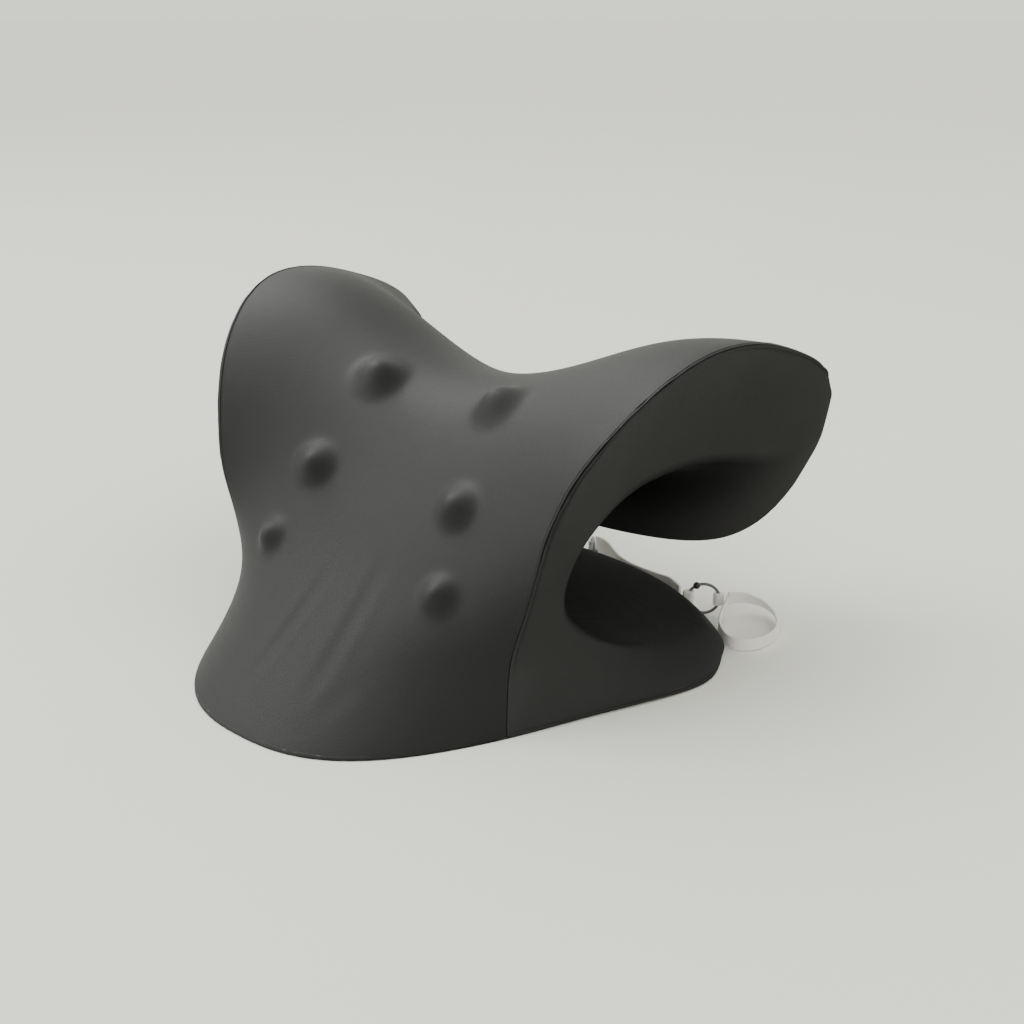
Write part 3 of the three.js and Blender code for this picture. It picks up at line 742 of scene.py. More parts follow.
def webbing_material(name, colour):
    """Off-white satin webbing. Its weave follows the strap: U across, V along, in metres."""
    graph = Graph(name)
    place = graph.coordinates("UV")
    ribs = graph.wave(place, 420, "Y", 0.2)
    ends = graph.wave(place, 800, "X", 0.3)
    ribs, ends = graph.maths("MULTIPLY", ribs, 0.7), graph.maths("MULTIPLY", ends, 0.5)
    weave = graph.maths("ADD", ribs, ends)
    soil = graph.noise(graph.coordinates(), 90, 3)
    tone = graph.ramp(soil, (0.3, shade(colour, 0.93)), (0.7, shade(colour, 1.05)))
    normal = graph.bump(weave, 0.00009, 0.5)
    rough = graph.span(weave, 0.48, 0.34)
    return graph.finish(
        tone, rough, normal, Sheen_Weight=0.15, Subsurface_Weight=0.06, Subsurface_Scale=0.002
    )


def foam_material(name, colour):
    """Open-celled foam."""
    graph = Graph(name)
    place = graph.coordinates()
    cells = graph.node("TexVoronoi", feature="SMOOTH_F1")
    cells.inputs["Scale"].default_value = 900
    graph.link(place, cells.inputs["Vector"])
    wall = cells.outputs["Distance"]
    tone = graph.ramp(wall, (0.1, shade(colour, 0.75)), (0.8, shade(colour, 1.15)))
    return graph.finish(tone, 0.92, graph.bump(wall, 0.0003, 0.6))


def metal_material(name, colour, roughness=0.3):
    """Dark plated metal with a fine brushed grain."""
    graph = Graph(name)
    place = graph.coordinates()
    wear = graph.noise(place, 700, 4)
    brush = graph.noise(graph.coordinates(scale=(1, 1, 6)), 1500, 2)
    tone = graph.ramp(wear, (0.4, shade(colour, 0.8)), (0.7, shade(colour, 1.5)))
    rough = graph.span(brush, roughness - 0.08, roughness + 0.1)
    return graph.finish(tone, rough, graph.bump(brush, 0.00002, 0.4), Metallic=1.0)


def moulded_material(name, colour, roughness=0.45):
    """Moulded nylon or firm foam with a fine grain."""
    graph = Graph(name)
    place = graph.coordinates()
    grain = graph.noise(place, 1800, 3)
    tone = graph.ramp(grain, (0.35, shade(colour, 0.9)), (0.65, shade(colour, 1.1)))
    rough = graph.span(grain, roughness - 0.05, roughness + 0.08)
    return graph.finish(tone, rough, graph.bump(grain, 0.00005, 0.4))


def material(name, maker, *details):
    """A material that is made once and then shared."""
    return bpy.data.materials.get(name) or maker(name, *details)


NYLON_COLOUR, NYLON_ROUGHNESS = (0.012, 0.012, 0.012), 0.35


def seam_tape(sizes):
    """The finish of the seams and of the zip's tape."""
    return material("seam_tape", woven_material, tuple(sizes.thread_colour))


# ---------------------------------------------------------------- the strap's route

RING_RADIUS = 6.3 * MM
TAB_RING = ((12.6, 129.6, 7.1), 129)  # centre in mm and direction of the ring's plane from +X
LINK_RING = ((73.2, 119.8, 7.1), 35)
FOLD_IN, FOLD_OUT, FOLD_THICK = 2.6 * MM, 2 * MM, 3.6 * MM
ROLL_STEPS = 8
LEAF_SHARE = 0.34  # half the two leaves' thickness, as a share of the roll's
FOLD_TAPER, FOLD_PINCH = 0.9, 0.94  # thickness at the sewn end and at the selvedges
FOLD_HEIGHTS = (-0.5, -0.42, -0.2, 0, 0.2, 0.42, 0.5)  # shares of the width
RING_POINTS = 28
RING_DRAWN_IN = 1.0042  # a ring's line is drawn in by this much at its control points
BEAD_RADIUS, BEAD_BORE, BEAD_ANGLE = 1.5 * MM, 0.85 * MM, 118
BEAD_FACE, BEAD_STEPS, BEAD_TURNS = 52, 6, 12  # degrees from the middle to each flat end
BAND_THICKNESS, LOOP_THICKNESS = 1.1 * MM, 0.9 * MM
BAND_ROUTE = [
    (7.4, 138.2, 6.4), (10.6, 138.8, 6), (14.6, 137.8, 5.6), (19, 135, 5.2), (24, 131.4, 4.9),
    (29.5, 128.6, 4.8), (35.5, 126.8, 4.7), (42, 125.9, 4.7), (48.5, 125.2, 4.8),
    (54.5, 123.9, 5.4), (60, 119.8, 6.4), (65, 115.4, 7.3),
]  # fmt: skip
LOOP_ROUTE = [
    (80.6, 126, 7.1), (82.8, 129.2, 6.9), (86, 132.4, 6.3), (90.6, 134, 5.4), (95.6, 133.2, 4.4),
    (100.4, 129.6, 3.6), (104, 124, 3.1), (106, 117.6, 2.9), (106, 111.4, 2.8),
    (104.4, 106.2, 2.8), (101.4, 102.8, 2.8), (97.6, 101.4, 2.8), (93.8, 102.4, 2.8),
    (90.2, 105.2, 2.9), (87, 108.8, 3.1), (84.8, 113, 3.8), (83.4, 117.4, 5), (82.8, 121, 6.2),
    (81.7, 124, 7.1),
]  # fmt: skip


def route(points, steps):
    """A smooth line, in metres, through points given in mm."""
    curve = station_curve(points, 0, len(points) - 1)
    return [metres(curve(k)) for k in spread(0, len(points) - 1, steps)]


def strap_builder(points, width, thickness, lean=lambda t: 0):
    """A flat strap along points, with rounded selvedges and a UV map in metres. lean says how far
    it turns from standing on edge, in degrees, as t goes from 0 to 1 along it."""
    half, edge = width / 2, thickness / 2
    profile = []
    for side, turn in ((1, 1), (-1, -1)):
        profile += [
            (side * (half - 1.6 * edge), turn * edge * 0.86),
            (side * (half - 0.5 * edge), turn * edge),
            (side * half, turn * edge * 0.4),
            (side * half, -turn * edge * 0.4),
            (side * (half - 0.5 * edge), -turn * edge),
            (side * (half - 1.6 * edge), -turn * edge * 0.86),
        ]
    count = len(profile)

    def build(mesh):
        layer = mesh.loops.layers.uv.new("Strap")
        rings, travelled = [], 0
        for i, point in enumerate(points):
            before, after = points[max(i - 1, 0)], points[min(i + 1, len(points) - 1)]
            forward = (after - before).normalized()
            side = forward.cross(Vector((0, 0, 1))).normalized()
            up = side.cross(forward).normalized()
            turn = Matrix.Rotation(math.radians(lean(i / (len(points) - 1))), 3, forward)
            side, up = turn @ side, turn @ up
            if i:
                travelled += (point - points[i - 1]).length
            ring = [mesh.verts.new(point + up * a + side * b) for a, b in profile]
            rings.append((ring, travelled))
        for (first, v0), (second, v1) in zip(rings, rings[1:]):
            for j in range(count):
                following = (j + 1) % count
                face = mesh.faces.new([first[j], first[following], second[following], second[j]])
                places = [(profile[j][0], v0), (profile[following][0], v0)]
                places += [(profile[following][0], v1), (profile[j][0], v1)]
                for loop, place in zip(face.loops, places):
                    loop[layer].uv = place
        mesh.faces.new(list(reversed(rings[0][0])))
        mesh.faces.new(rings[-1][0])
        bmesh.ops.recalc_face_normals(mesh, faces=mesh.faces)

    return build


LOOP_LEAN, LEANING_SHARE = 34, 0.42  # degrees of lean, and the share of the loop that leans


def loop_lean(t):
    """Degrees that the loop turns from standing on edge, where t goes from 0 to 1 along it."""
    return LOOP_LEAN * math.sin(math.pi * min(t / LEANING_SHARE, 1)) ** 2


def ring_place(ring):
    """The matrix that takes a piece made about the ring's middle, in its X-Z plane, to its place."""
    centre, turn = ring
    return Matrix.Translation(metres(Vector(centre))) @ Matrix.Rotation(math.radians(turn), 4, "Z")


# ---------------------------------------------------------------- camera

CAMERA_TURN, CAMERA_TILT = math.radians(38.82), math.radians(21.91)
CAMERA_PLACE = Vector((294.5, -276.4, 224.0))  # mm
SENSOR, LENS = 36, 43.9453125  # mm


def camera_direction():
    """The way the camera looks."""
    level = math.cos(CAMERA_TILT)
    return Vector(
        (-math.sin(CAMERA_TURN) * level, math.cos(CAMERA_TURN) * level, -math.sin(CAMERA_TILT))
    )


class NECK_OT_camera(bpy.types.Operator):
    """Place the camera in front of the ramp, to its right and above."""

    bl_idname = "neck.camera"
    bl_label = "Camera"

    def execute(self, context):
        data = bpy.data.cameras.new("camera")
        data.sensor_width = SENSOR
        data.lens = LENS
        data.clip_start, data.clip_end = 0.01, 100
        camera = bpy.data.objects.new("camera", data)
        camera.location = metres(CAMERA_PLACE)
        camera.rotation_mode = "QUATERNION"
        camera.rotation_quaternion = camera_direction().to_track_quat("-Z", "Y")
        context.scene.collection.objects.link(camera)
        context.scene.camera = camera
        return {"FINISHED"}


# ---------------------------------------------------------------- strap


def fold_builder(ring, side, width):
    """A fold of webbing round the ring's wire: a sewn double leaf with a rolled end."""
    place = ring_place(ring)
    near, far = RING_RADIUS - FOLD_IN, RING_RADIUS + FOLD_OUT
    stitch = RING_RADIUS + 1.15 * MM  # where the two leaves are sewn together
    leaf, roll = LEAF_SHARE * FOLD_THICK, 0.5 * FOLD_THICK

    def build(mesh):
        outline = []
        for i in range(ROLL_STEPS + 1):
            angle = math.pi / 2 + math.pi * i / ROLL_STEPS
            outline.append((near + roll + roll * math.cos(angle), roll * math.sin(angle)))
        outline += [(stitch, -leaf), (far, -leaf * FOLD_TAPER)]
        outline += [(far, leaf * FOLD_TAPER), (stitch, leaf)]
        rows = []
        for height in FOLD_HEIGHTS:
            pinch = FOLD_PINCH if abs(height) == 0.5 else 1
            spots = [Vector((side * x, y * pinch, height * width)) for x, y in outline]
            rows.append([mesh.verts.new(place @ spot) for spot in spots])
        close_skin(mesh, rows)

    return build


def wire_ring(name, ring, body, wire):
    """A wire ring with its butt joint closed."""
    place = ring_place(ring)
    radius = RING_RADIUS * RING_DRAWN_IN
    points = []
    for i in range(RING_POINTS):
        angle = 2 * math.pi * i / RING_POINTS
        points.append(place @ Vector((radius * math.cos(angle), 0, radius * math.sin(angle))))
    return tube(name, points, wire, body, closed=True, resolution=4)


class NECK_OT_strap(bpy.types.Operator):
    """Make the two straps, their folds, the rings and the bead."""

    bl_idname = "neck.strap"
    bl_label = "Hanging strap"

    def execute(self, context):
        sizes = context.scene.neck_strap
        webbing = material("webbing", webbing_material, tuple(sizes.colour))
        metal = material("ring_metal", metal_material, tuple(sizes.metal_colour), 0.3)
        dark = seam_tape(context.scene.neck_cover)
        nylon = material("black_nylon", moulded_material, NYLON_COLOUR, NYLON_ROUGHNESS)

        band_line = route(BAND_ROUTE, 66)
        loop_line = route(LOOP_ROUTE, 108)
        band_shape = strap_builder(band_line, sizes.band_width, BAND_THICKNESS)
        band = add_mesh("woven_band", band_shape, TAB_BODY)
        loop_shape = strap_builder(loop_line, sizes.loop_width, LOOP_THICKNESS, loop_lean)
        loop = add_mesh("woven_loop", loop_shape, LINK_BODY)
        for piece, node in ((band, "strap_band"), (loop, "strap_loop")):
            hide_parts(node)
            dress(piece, webbing)

        for name, ring, side, width, body, finish, slot in (
            ("strap_tab", TAB_RING, -1, 6.8 * MM, BODY, dark, "welt"),
            ("band_fold_tab", TAB_RING, 1, 6.8 * MM, TAB_BODY, webbing, "webbing"),
            ("band_fold_link", LINK_RING, -1, 6.8 * MM, TAB_BODY, webbing, "webbing"),
            ("loop_ferrule", LINK_RING, 1, 5.2 * MM, LINK_BODY, webbing, "webbing"),
        ):
            piece = add_mesh("sewn_" + name, fold_builder(ring, side, width), body)
            subdivide(piece, 2)
            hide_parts(name)
            dress(piece, finish)

        places = (("tab_ring", TAB_RING, TAB_BODY), ("link_ring", LINK_RING, LINK_BODY))
        for name, ring, body in places:
            piece = wire_ring("wire_" + name, ring, body, sizes.wire)
            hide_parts(name)
            dress(piece, metal)
        bead = add_mesh("turned_bead", self.bead, LINK_BODY)
        subdivide(bead, 2)
        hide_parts("link_ring_bead")
        dress(bead, nylon)

        return {"FINISHED"}

    @staticmethod
    def bead(mesh):
        """A small ball with a bore for the wire, turned about the wire."""
        angle = math.radians(BEAD_ANGLE)
        middle = Vector((RING_RADIUS * math.cos(angle), 0, RING_RADIUS * math.sin(angle)))
        along = Vector((-math.sin(angle), 0, math.cos(angle)))
        outline = []
        for degrees in spread(-BEAD_FACE, BEAD_FACE, BEAD_STEPS):
            turn = math.radians(degrees)
            outline.append((BEAD_RADIUS * math.cos(turn), BEAD_RADIUS * math.sin(turn)))
        outline += [(BEAD_BORE, z) for z in (outline[-1][1], 0, outline[0][1])]
        place = ring_place(LINK_RING) @ Matrix.Translation(middle)
        place = place @ along.to_track_quat("Z", "Y").to_matrix().to_4x4()
        rows = []
        for i in range(BEAD_TURNS):
            turn = Matrix.Rotation(2 * math.pi * i / BEAD_TURNS, 4, "Z")
            rows.append([mesh.verts.new(place @ turn @ Vector((r, 0, z))) for r, z in outline])
        skin(mesh, rows + rows[:1])
        bmesh.ops.recalc_face_normals(mesh, faces=mesh.faces)


# ---------------------------------------------------------------- cover

BODY_LEVELS = 2
HEM_PLACE, HEM_WIDTH, HEM_HEIGHT = 1.3 * MM, 0.7 * MM, 0.9  # rolled hem beside a gathered seam
DIP_PLACE, DIP_WIDTH, DIP_DEPTH = 3.0 * MM, 0.8 * MM, 0.7  # dip behind the hem
PUCKER_REACH, PUCKER_HEIGHT = 4.8 * MM, 1.9
SIDE_PAINTED_LIGHT = 2.2  # painted light: the side and slot panel gets the front's fabric this much paler, standing in for light on the side band
SEAM_GAP = 0.03 * MM  # half the gap between two panels where the seam is tight
OPEN_SEAM_GAP = 0.16 * MM  # the same where the fabric gathers
CLEAR_OF_FLOOR = 0.2 * MM  # lowest point of a turned-in rim
GROOVE_SHARE = 0.6  # depth of a tight seam, as a share of the groove
RIM_LEAN = 0.3  # how far a turned-in rim leans back under its panel
RIM_SHARE = 0.12  # thickness at the base's rim and the lip's corners, as a share of the fabric's
THINNEST = 0.05  # least share of the fabric's thickness anywhere
SEAM_RADIUS = 0.5 * MM
LIP_SEAM_SHARE = 0.86  # the lip's seam cord stops short of its slim corners
SEAM_DEPTH = 1.35 * MM
FOOT_SEAM_DEPTH = 2.4 * MM
FULL_FROM = 2.4 * MM  # height above which the front panel has its whole thickness
THIN_WITHIN, FULL_BEYOND = 7 * MM, 22 * MM  # distances from a corner of the lip


def wall_share(point):
    """Share of the fabric's thickness: the lip's corners are too slim for the whole of it."""
    corner = metres(outer_point(LIP, 1))
    distance = (Vector((abs(point.x), point.y, point.z)) - corner).length
    return min(max((distance - THIN_WITHIN) / (FULL_BEYOND - THIN_WITHIN), RIM_SHARE), 1)


def tuck(mesh, share_of, sizes):
    """Turns a panel's open edges down into the seam, as an extra rolled rim.
    share_of says how much the seam gathers at a point, from 0 to 1."""
    open_edges = [e for e in mesh.edges if len(e.link_faces) == 1]
    inward = {v: Vector() for e in open_edges for v in e.verts}
    down = {v: -v.normal for v in inward}
    sides = []
    for e in open_edges:
        loop = e.link_loops[0]
        first, second = loop.vert, loop.link_loop_next.vert
        away = loop.face.normal.cross((second.co - first.co).normalized())
        inward[first] += away
        inward[second] += away
        sides.append((first, second))
    rim = {}
    for v, away in inward.items():
        share = share_of(v.co)
        direction = away.normalized()
        v.co += direction * (SEAM_GAP + (OPEN_SEAM_GAP - SEAM_GAP) * share)
        v.co.z = max(v.co.z, CLEAR_OF_FLOOR)
        depth = sizes.groove * GROOVE_SHARE * (1 + share) * wall_share(v.co)
        rim[v] = mesh.verts.new(v.co + (down[v] + direction * RIM_LEAN).normalized() * depth, v)
        rim[v].co.z = max(rim[v].co.z, CLEAR_OF_FLOOR)
    for first, second in sides:
        mesh.faces.new([second, first, rim[first], rim[second]])


def panel_builder(body, panel, sizes):
    """One panel of the cover, taken from the smooth body and turned down at its seams."""
    domes = dome_frames() if panel == FRONT else []
    lines = crease_lines() if panel == FRONT else []
    seams = seam_lines()

    def near_seam(point):
        return min(((point - p).length, share, k) for p, share, k in seams)

    def pucker_height(point, side):
        distance, share, k = near_seam(point)
        if distance > PUCKER_REACH:
            return 0
        wave = noise.noise(Vector((k * 3.6, side * 3.7, 0.5)))
        wave += 0.6 * noise.noise(Vector((k * 8.5, side * 7.1, 2.5)))
        hem = HEM_HEIGHT * hill(distance, HEM_PLACE, HEM_WIDTH)
        hem -= DIP_DEPTH * hill(distance, DIP_PLACE, DIP_WIDTH)
        gathers = PUCKER_HEIGHT * fade_out(distance, PUCKER_REACH) * wave
        return sizes.pucker * share * (gathers + hem)

    def build(mesh):
        copies = {}
        source = body.verts.layers.float["painted_slot_shade"]
        layer = mesh.verts.layers.float.new("painted_slot_shade")
        for face in body.faces:
            if face.material_index != panel:
                continue
            corners = []
            for v in face.verts:
                if v.index not in copies:
                    copies[v.index] = mesh.verts.new(v.co)
                    copies[v.index][layer] = v[source]
                corners.append(copies[v.index])
            mesh.faces.new(corners)
        mesh.normal_update()
        normals = {v: v.normal.copy() for v in mesh.verts}
        for v in mesh.verts:
            rest = v.co.copy()
            if panel != BASE:
                v.co += normals[v] * pucker_height(rest, 1 if panel == FRONT else 2)
            for middle, normal, foot, height in domes:
                v.co += normal * swelling((rest - middle).length, foot, height)
            if lines:
                v.co += normals[v] * crease_depth(rest, lines, sizes.crease)
        mesh.normal_update()
        tuck(mesh, lambda point: near_seam(point)[1], sizes)
        mesh.normal_update()

    return build


class NECK_OT_cover(bpy.types.Operator):
    """Make the three sewn panels of the stretch cover and the seams between them."""

    bl_idname = "neck.cover"
    bl_label = "Cover panels"

    def execute(self, context):
        sizes = context.scene.neck_cover
        body = smooth_body(BODY_LEVELS)
        body.verts.index_update()
        colour = tuple(sizes.colour)
        knit = material("stretch_knit", knit_material, colour)
        # Painted light: the side faces get the front's fabric made paler, standing in for the light
        # that falls on the side band.
        side_painted_light_colour = shade(colour, SIDE_PAINTED_LIGHT)
        # The side and slot panel's knit turns to painted shade, near black, deep inside the slot.
        lining = material("slot_knit", knit_material, side_painted_light_colour, tuple(sizes.slot_painted_shade_colour))
        grip = material("grip_fabric", grip_material, tuple(sizes.base_colour))
        for name, panel, finish, slot in (
            ("cover_front_panel", FRONT, knit, "cover_stretch"),
            ("cover_side_and_slot_panel", LINING, lining, "cover_lining"),
            ("cover_base_panel", BASE, grip, "cover_base"),
        ):
            piece = add_mesh("knit_" + name, panel_builder(body, panel, sizes), BODY)
            shell = piece.modifiers.new("Solidify", "SOLIDIFY")
            shell.thickness = sizes.thickness
            shell.offset = -1
            thin = piece.vertex_groups.new(name="thickness")
            for v in piece.data.vertices:
                share = wall_share(v.co)
                if panel == FRONT:
                    share = min(share, v.co.z / FULL_FROM)
                elif panel == BASE and v.co.z > CLEAR_OF_FLOOR / 2:
                    share = RIM_SHARE
                thin.add([v.index], share, "REPLACE")
            shell.vertex_group = thin.name
            shell.thickness_vertex_group = THINNEST
            if panel == FRONT:
                subdivide(piece, 1)
            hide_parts(name)
            dress(piece, finish)
        self.seams(body, sizes)
        body.free()
        return {"FINISHED"}

    @staticmethod
    def seams(body, sizes):
        """The folded seam cords, just under the line where two panels meet."""
        thread = seam_tape(sizes)
        joints = [v for v in body.verts if len({face.material_index for face in v.link_faces}) > 1]
        tree = nearest_finder([v.co for v in joints])

        def seam(name, pairs, depth=SEAM_DEPTH):
            line = [tree.find(metres(outer_point(k, s)))[1] for k, s in pairs]
            points = []
            for i in dict.fromkeys(line):
                point = joints[i].co - joints[i].normal * depth
                point.z = max(point.z, SEAM_RADIUS + CLEAR_OF_FLOOR)
                points.append(point)
            piece = tube("rolled_" + name, points, SEAM_RADIUS, BODY)
            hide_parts(name)
            dress(piece, thread)

        edge_rows = spread(FOOT + 0.2, LIP - 1.5, 84)
        base_rows = spread(0.2, FOOT - 0.2, 40)
        spans = spread(-0.96, 0.96, 50)
        for side, word in ((1, "right"), (-1, "left")):
            seam("edge_welt_" + word, [(k, side) for k in edge_rows])
            seam("base_welt_" + word, [(k, side) for k in base_rows])
        seam("lip_welt", [(LIP, LIP_SEAM_SHARE * s) for s in spans])
        seam("base_welt_rear", [(0, s) for s in spans])
        seam("base_welt_front", [(FOOT, s) for s in spans], FOOT_SEAM_DEPTH)


# ---------------------------------------------------------------- zip

# All in mm. The zip runs along X with its middle at ZIP_Y, ZIP_Z. The slot is on its +Y side.
ZIP_Y, ZIP_Z, ZIP_HALF = 27.6 - ORIGIN_Y, 46.0, 47.7
TAPE_HALF, TAPE_GAP, TAPE_BACK, TAPE_FACE = 8.5, 0.5, -3.6, -3.0
COIL_PITCH, COIL_INSET, COIL_STEPS, COIL_SIDES = 1.5, 2.6, 8, 6
COIL_Y, COIL_RISE, COIL_GAP, COIL_REACH = -1.8, 0.55, 0.55, 1.5
COIL_WIDE, COIL_DEEP = 0.42, 0.24  # half the wire's width and half its depth
STOP_WIDE, STOP_TALL, STOP_BACK, STOP_FACE = 0.8, 2.3, -2.6, -0.8


def box_builder(low, high):
    """A box between two corners, given in mm off the zip's middle."""

    def build(mesh):
        size = [(b - a) * MM for a, b in zip(low, high)]
        middle = [(b + a) / 2 * MM for a, b in zip(low, high)]
        middle[1] += ZIP_Y * MM
        middle[2] += ZIP_Z * MM
        place = Matrix.Translation(middle) @ Matrix.Diagonal((*size, 1))
        bmesh.ops.create_cube(mesh, size=1, matrix=place)

    return build


def coil_turn(sign):
    """One turn of the zip's coil: a bent nylon loop from the tape to the middle."""

    def build(mesh):
        path = []
        for turn in spread(0, math.pi, COIL_STEPS):
            y = COIL_Y + COIL_RISE * math.cos(turn)
            z = sign * (COIL_GAP + COIL_REACH * (1 - math.sin(turn)))
            path.append(Vector((-ZIP_HALF + COIL_INSET, y, z)))
        rings = []
        for i, point in enumerate(path):
            after, before = path[min(i + 1, COIL_STEPS)], path[max(i - 1, 0)]
            forward = (after - before).normalized()
            side = Vector((1, 0, 0))
            up = side.cross(forward).normalized()
            ring = []
            for j in range(COIL_SIDES):
                turn = 2 * math.pi * j / COIL_SIDES
                offset = side * math.cos(turn) * COIL_WIDE + up * math.sin(turn) * COIL_DEEP
                spot = point + offset
                ring.append(mesh.verts.new(Vector((spot.x, spot.y + ZIP_Y, spot.z + ZIP_Z)) * MM))
            rings.append(ring)
        close_skin(mesh, rings)

    return build


class NECK_OT_zip(bpy.types.Operator):
    """Make the zip in the slot's lining."""

    bl_idname = "neck.zip"
    bl_label = "Zip"

    def execute(self, context):
        tape_finish = seam_tape(context.scene.neck_cover)
        nylon = material("black_nylon", moulded_material, NYLON_COLOUR, NYLON_ROUGHNESS)
        metal = material("zip_metal", metal_material, (0.035, 0.035, 0.037), 0.35)
        for sign, word in ((1, "upper"), (-1, "lower")):
            low, high = sorted((sign * TAPE_GAP, sign * TAPE_HALF))
            shape = box_builder((-ZIP_HALF, TAPE_BACK, low), (ZIP_HALF, TAPE_FACE, high))
            tape = add_mesh("woven_zip_tape_" + word, shape, BODY, False)
            bevel(tape, 0.15 * MM)
            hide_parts("zip_tape_" + word)
            dress(tape, tape_finish)
            coil = add_mesh("moulded_zip_coil_" + word, coil_turn(sign), BODY)
            row = coil.modifiers.new("Array", "ARRAY")
            row.count = int(2 * (ZIP_HALF - COIL_INSET) / COIL_PITCH) + 1
            row.use_relative_offset = False
            row.use_constant_offset = True
            row.constant_offset_displace = (COIL_PITCH * MM, 0, 0)
            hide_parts("zip_coil_" + word)
            dress(coil, nylon)
        for name, x in (("zip_stop_closed", -ZIP_HALF + 1), ("zip_stop_open", ZIP_HALF - 1)):
            low, high = (x - STOP_WIDE, STOP_BACK, -STOP_TALL), (x + STOP_WIDE, STOP_FACE, STOP_TALL)
            shape = box_builder(low, high)
            stop = add_mesh("pressed_" + name, shape, BODY, False)
            bevel(stop, 0.3 * MM, 3)
            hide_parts(name)
            dress(stop, metal)
        for name in ("zip_slider", "zip_pull"):
            coat(frame["nodes"][name], metal)
        return {"FINISHED"}


class NECK_OT_inner_pieces(bpy.types.Operator):
    """Give the foam core and the massage domes their finishes."""

    bl_idname = "neck.inner_pieces"
    bl_label = "Foam and domes"

    def execute(self, context):
        foam = material("foam", foam_material, (0.07, 0.07, 0.075))
        firm = material("firm_foam", moulded_material, (0.03, 0.03, 0.032), 0.6)
        for name, node in frame["nodes"].items():
            if name == "foam_core" or name.startswith("massage_dome"):
                coat(node, foam if name == "foam_core" else firm)
        return {"FINISHED"}


# ---------------------------------------------------------------- stage

FLOOR_RADIUS = 40  # m, far enough for its edge to meet the pale surround
FLOOR_COLOUR = (0.86, 0.86, 0.83)
SURROUND_LOW, SURROUND_HIGH = (1.25, 1.25, 1.12), (1.45, 1.45, 1.33)
LAMP_AIM = Vector((0, 0, 0.06))


def area_light(name, place, size, power, lit=None):
    """A soft square lamp aimed at the object. lit holds the pieces it lights, or is None for all."""
    data = bpy.data.lights.new(name, "AREA")
    data.size = size
    data.energy = power
    lamp = bpy.data.objects.new(name, data)
    lamp.location = place
    lamp.rotation_mode = "QUATERNION"
    lamp.rotation_quaternion = (LAMP_AIM - Vector(place)).to_track_quat("-Z", "Y")
    bpy.context.scene.collection.objects.link(lamp)
    if lit is not None:
        lamp.light_linking.receiver_collection = lit


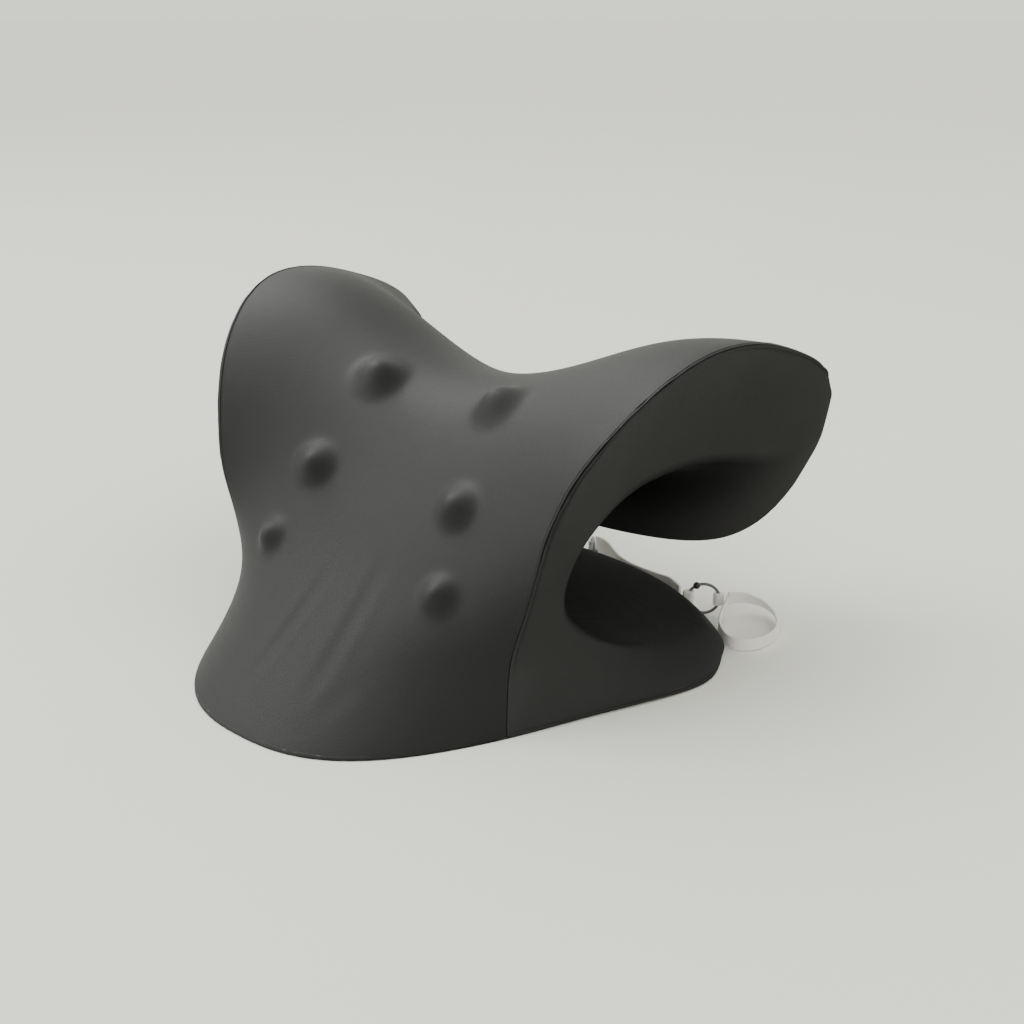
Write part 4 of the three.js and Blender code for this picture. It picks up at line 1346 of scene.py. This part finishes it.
class NECK_OT_stage(bpy.types.Operator):
    """Make the pale floor, its surround and the soft lights."""

    bl_idname = "neck.stage"
    bl_label = "Stage"

    def execute(self, context):
        dark_pieces = bpy.data.collections.new("dark_pieces")
        for piece in context.scene.objects:
            if piece.type == "MESH" and not piece.name.startswith("woven_") and not self.is_fold(piece):
                dark_pieces.objects.link(piece)
        self.floor(context)
        self.surround(context)
        area_light("shadow", (-0.8, -0.75, 1.5), 1.4, 17)
        area_light("key", (-0.8, 0.1, 1.15), 0.9, 30, dark_pieces)
        area_light("fill", (-0.95, -1.0, 0.6), 1.1, 15.5, dark_pieces)
        return {"FINISHED"}

    @staticmethod
    def is_fold(piece):
        """Whether a piece is one of the three folds of pale webbing."""
        return piece.name in ("sewn_band_fold_tab", "sewn_band_fold_link", "sewn_loop_ferrule")

    @staticmethod
    def floor(context):
        """A wide matt floor, a round sheet."""
        graph = Graph("studio_floor")
        mottle = graph.noise(graph.coordinates(), 3, 2)
        tone = graph.ramp(mottle, (0.3, shade(FLOOR_COLOUR, 0.99)), (0.7, shade(FLOOR_COLOUR, 1.01)))
        finish = graph.finish(tone, 0.9, None, Specular_IOR_Level=0.05)
        profile = bmesh.new()
        spots = [profile.verts.new((x, 0, 0)) for x in (0, 1, 6, FLOOR_RADIUS)]
        for first, second in zip(spots, spots[1:]):
            profile.edges.new((first, second))
        data = bpy.data.meshes.new("floor")
        profile.to_mesh(data)
        profile.free()
        data.materials.append(finish)
        floor = bpy.data.objects.new("floor", data)
        context.scene.collection.objects.link(floor)
        turn = floor.modifiers.new("Screw", "SCREW")
        turn.steps = turn.render_steps = 64
        turn.use_merge_vertices = True
        turn.merge_threshold = 0.0001

    @staticmethod
    def surround(context):
        """An even pale surround, a little brighter overhead, that lights everything softly."""
        world = bpy.data.worlds.new("studio")
        context.scene.world = world
        world.use_nodes = True
        tree = world.node_tree
        place = tree.nodes.new("ShaderNodeTexCoord")
        parts = tree.nodes.new("ShaderNodeSeparateXYZ")
        blend = tree.nodes.new("ShaderNodeMix")
        blend.data_type = "RGBA"
        blend.inputs[MIX_FIRST].default_value = (*SURROUND_LOW, 1)
        blend.inputs[MIX_SECOND].default_value = (*SURROUND_HIGH, 1)
        tree.links.new(place.outputs["Generated"], parts.inputs["Vector"])
        tree.links.new(parts.outputs["Z"], blend.inputs["Factor"])
        tree.links.new(blend.outputs[MIX_RESULT], tree.nodes["Background"].inputs["Color"])


class NECK_PT_panel(bpy.types.Panel):
    """Sidebar panel that lists the makers"""

    bl_idname = "NECK_PT_panel"
    bl_label = "Neck Stretcher"
    bl_space_type = "VIEW_3D"
    bl_region_type = "UI"
    bl_category = "Neck Stretcher"

    def draw(self, context):
        for group in (context.scene.neck_cover, context.scene.neck_strap):
            for key in group.__annotations__:
                self.layout.prop(group, key)
        for operator in OPERATORS:
            self.layout.operator(operator.bl_idname)


OPERATORS = (
    NECK_OT_camera,
    NECK_OT_strap,
    NECK_OT_cover,
    NECK_OT_zip,
    NECK_OT_inner_pieces,
    NECK_OT_stage,
)
CLASSES = (CoverSizes, StrapSizes, *OPERATORS, NECK_PT_panel)


def register():
    for each in CLASSES:
        bpy.utils.register_class(each)
    bpy.types.Scene.neck_cover = bpy.props.PointerProperty(type=CoverSizes)
    bpy.types.Scene.neck_strap = bpy.props.PointerProperty(type=StrapSizes)


def unregister():
    del bpy.types.Scene.neck_strap
    del bpy.types.Scene.neck_cover
    for each in reversed(CLASSES):
        bpy.utils.unregister_class(each)


def main():
    register()
    bpy.ops.neck.camera()
    bpy.ops.neck.strap()
    bpy.ops.neck.cover()
    bpy.ops.neck.zip()
    bpy.ops.neck.inner_pieces()
    bpy.ops.neck.stage()


if __name__ == "__main__":
    main()
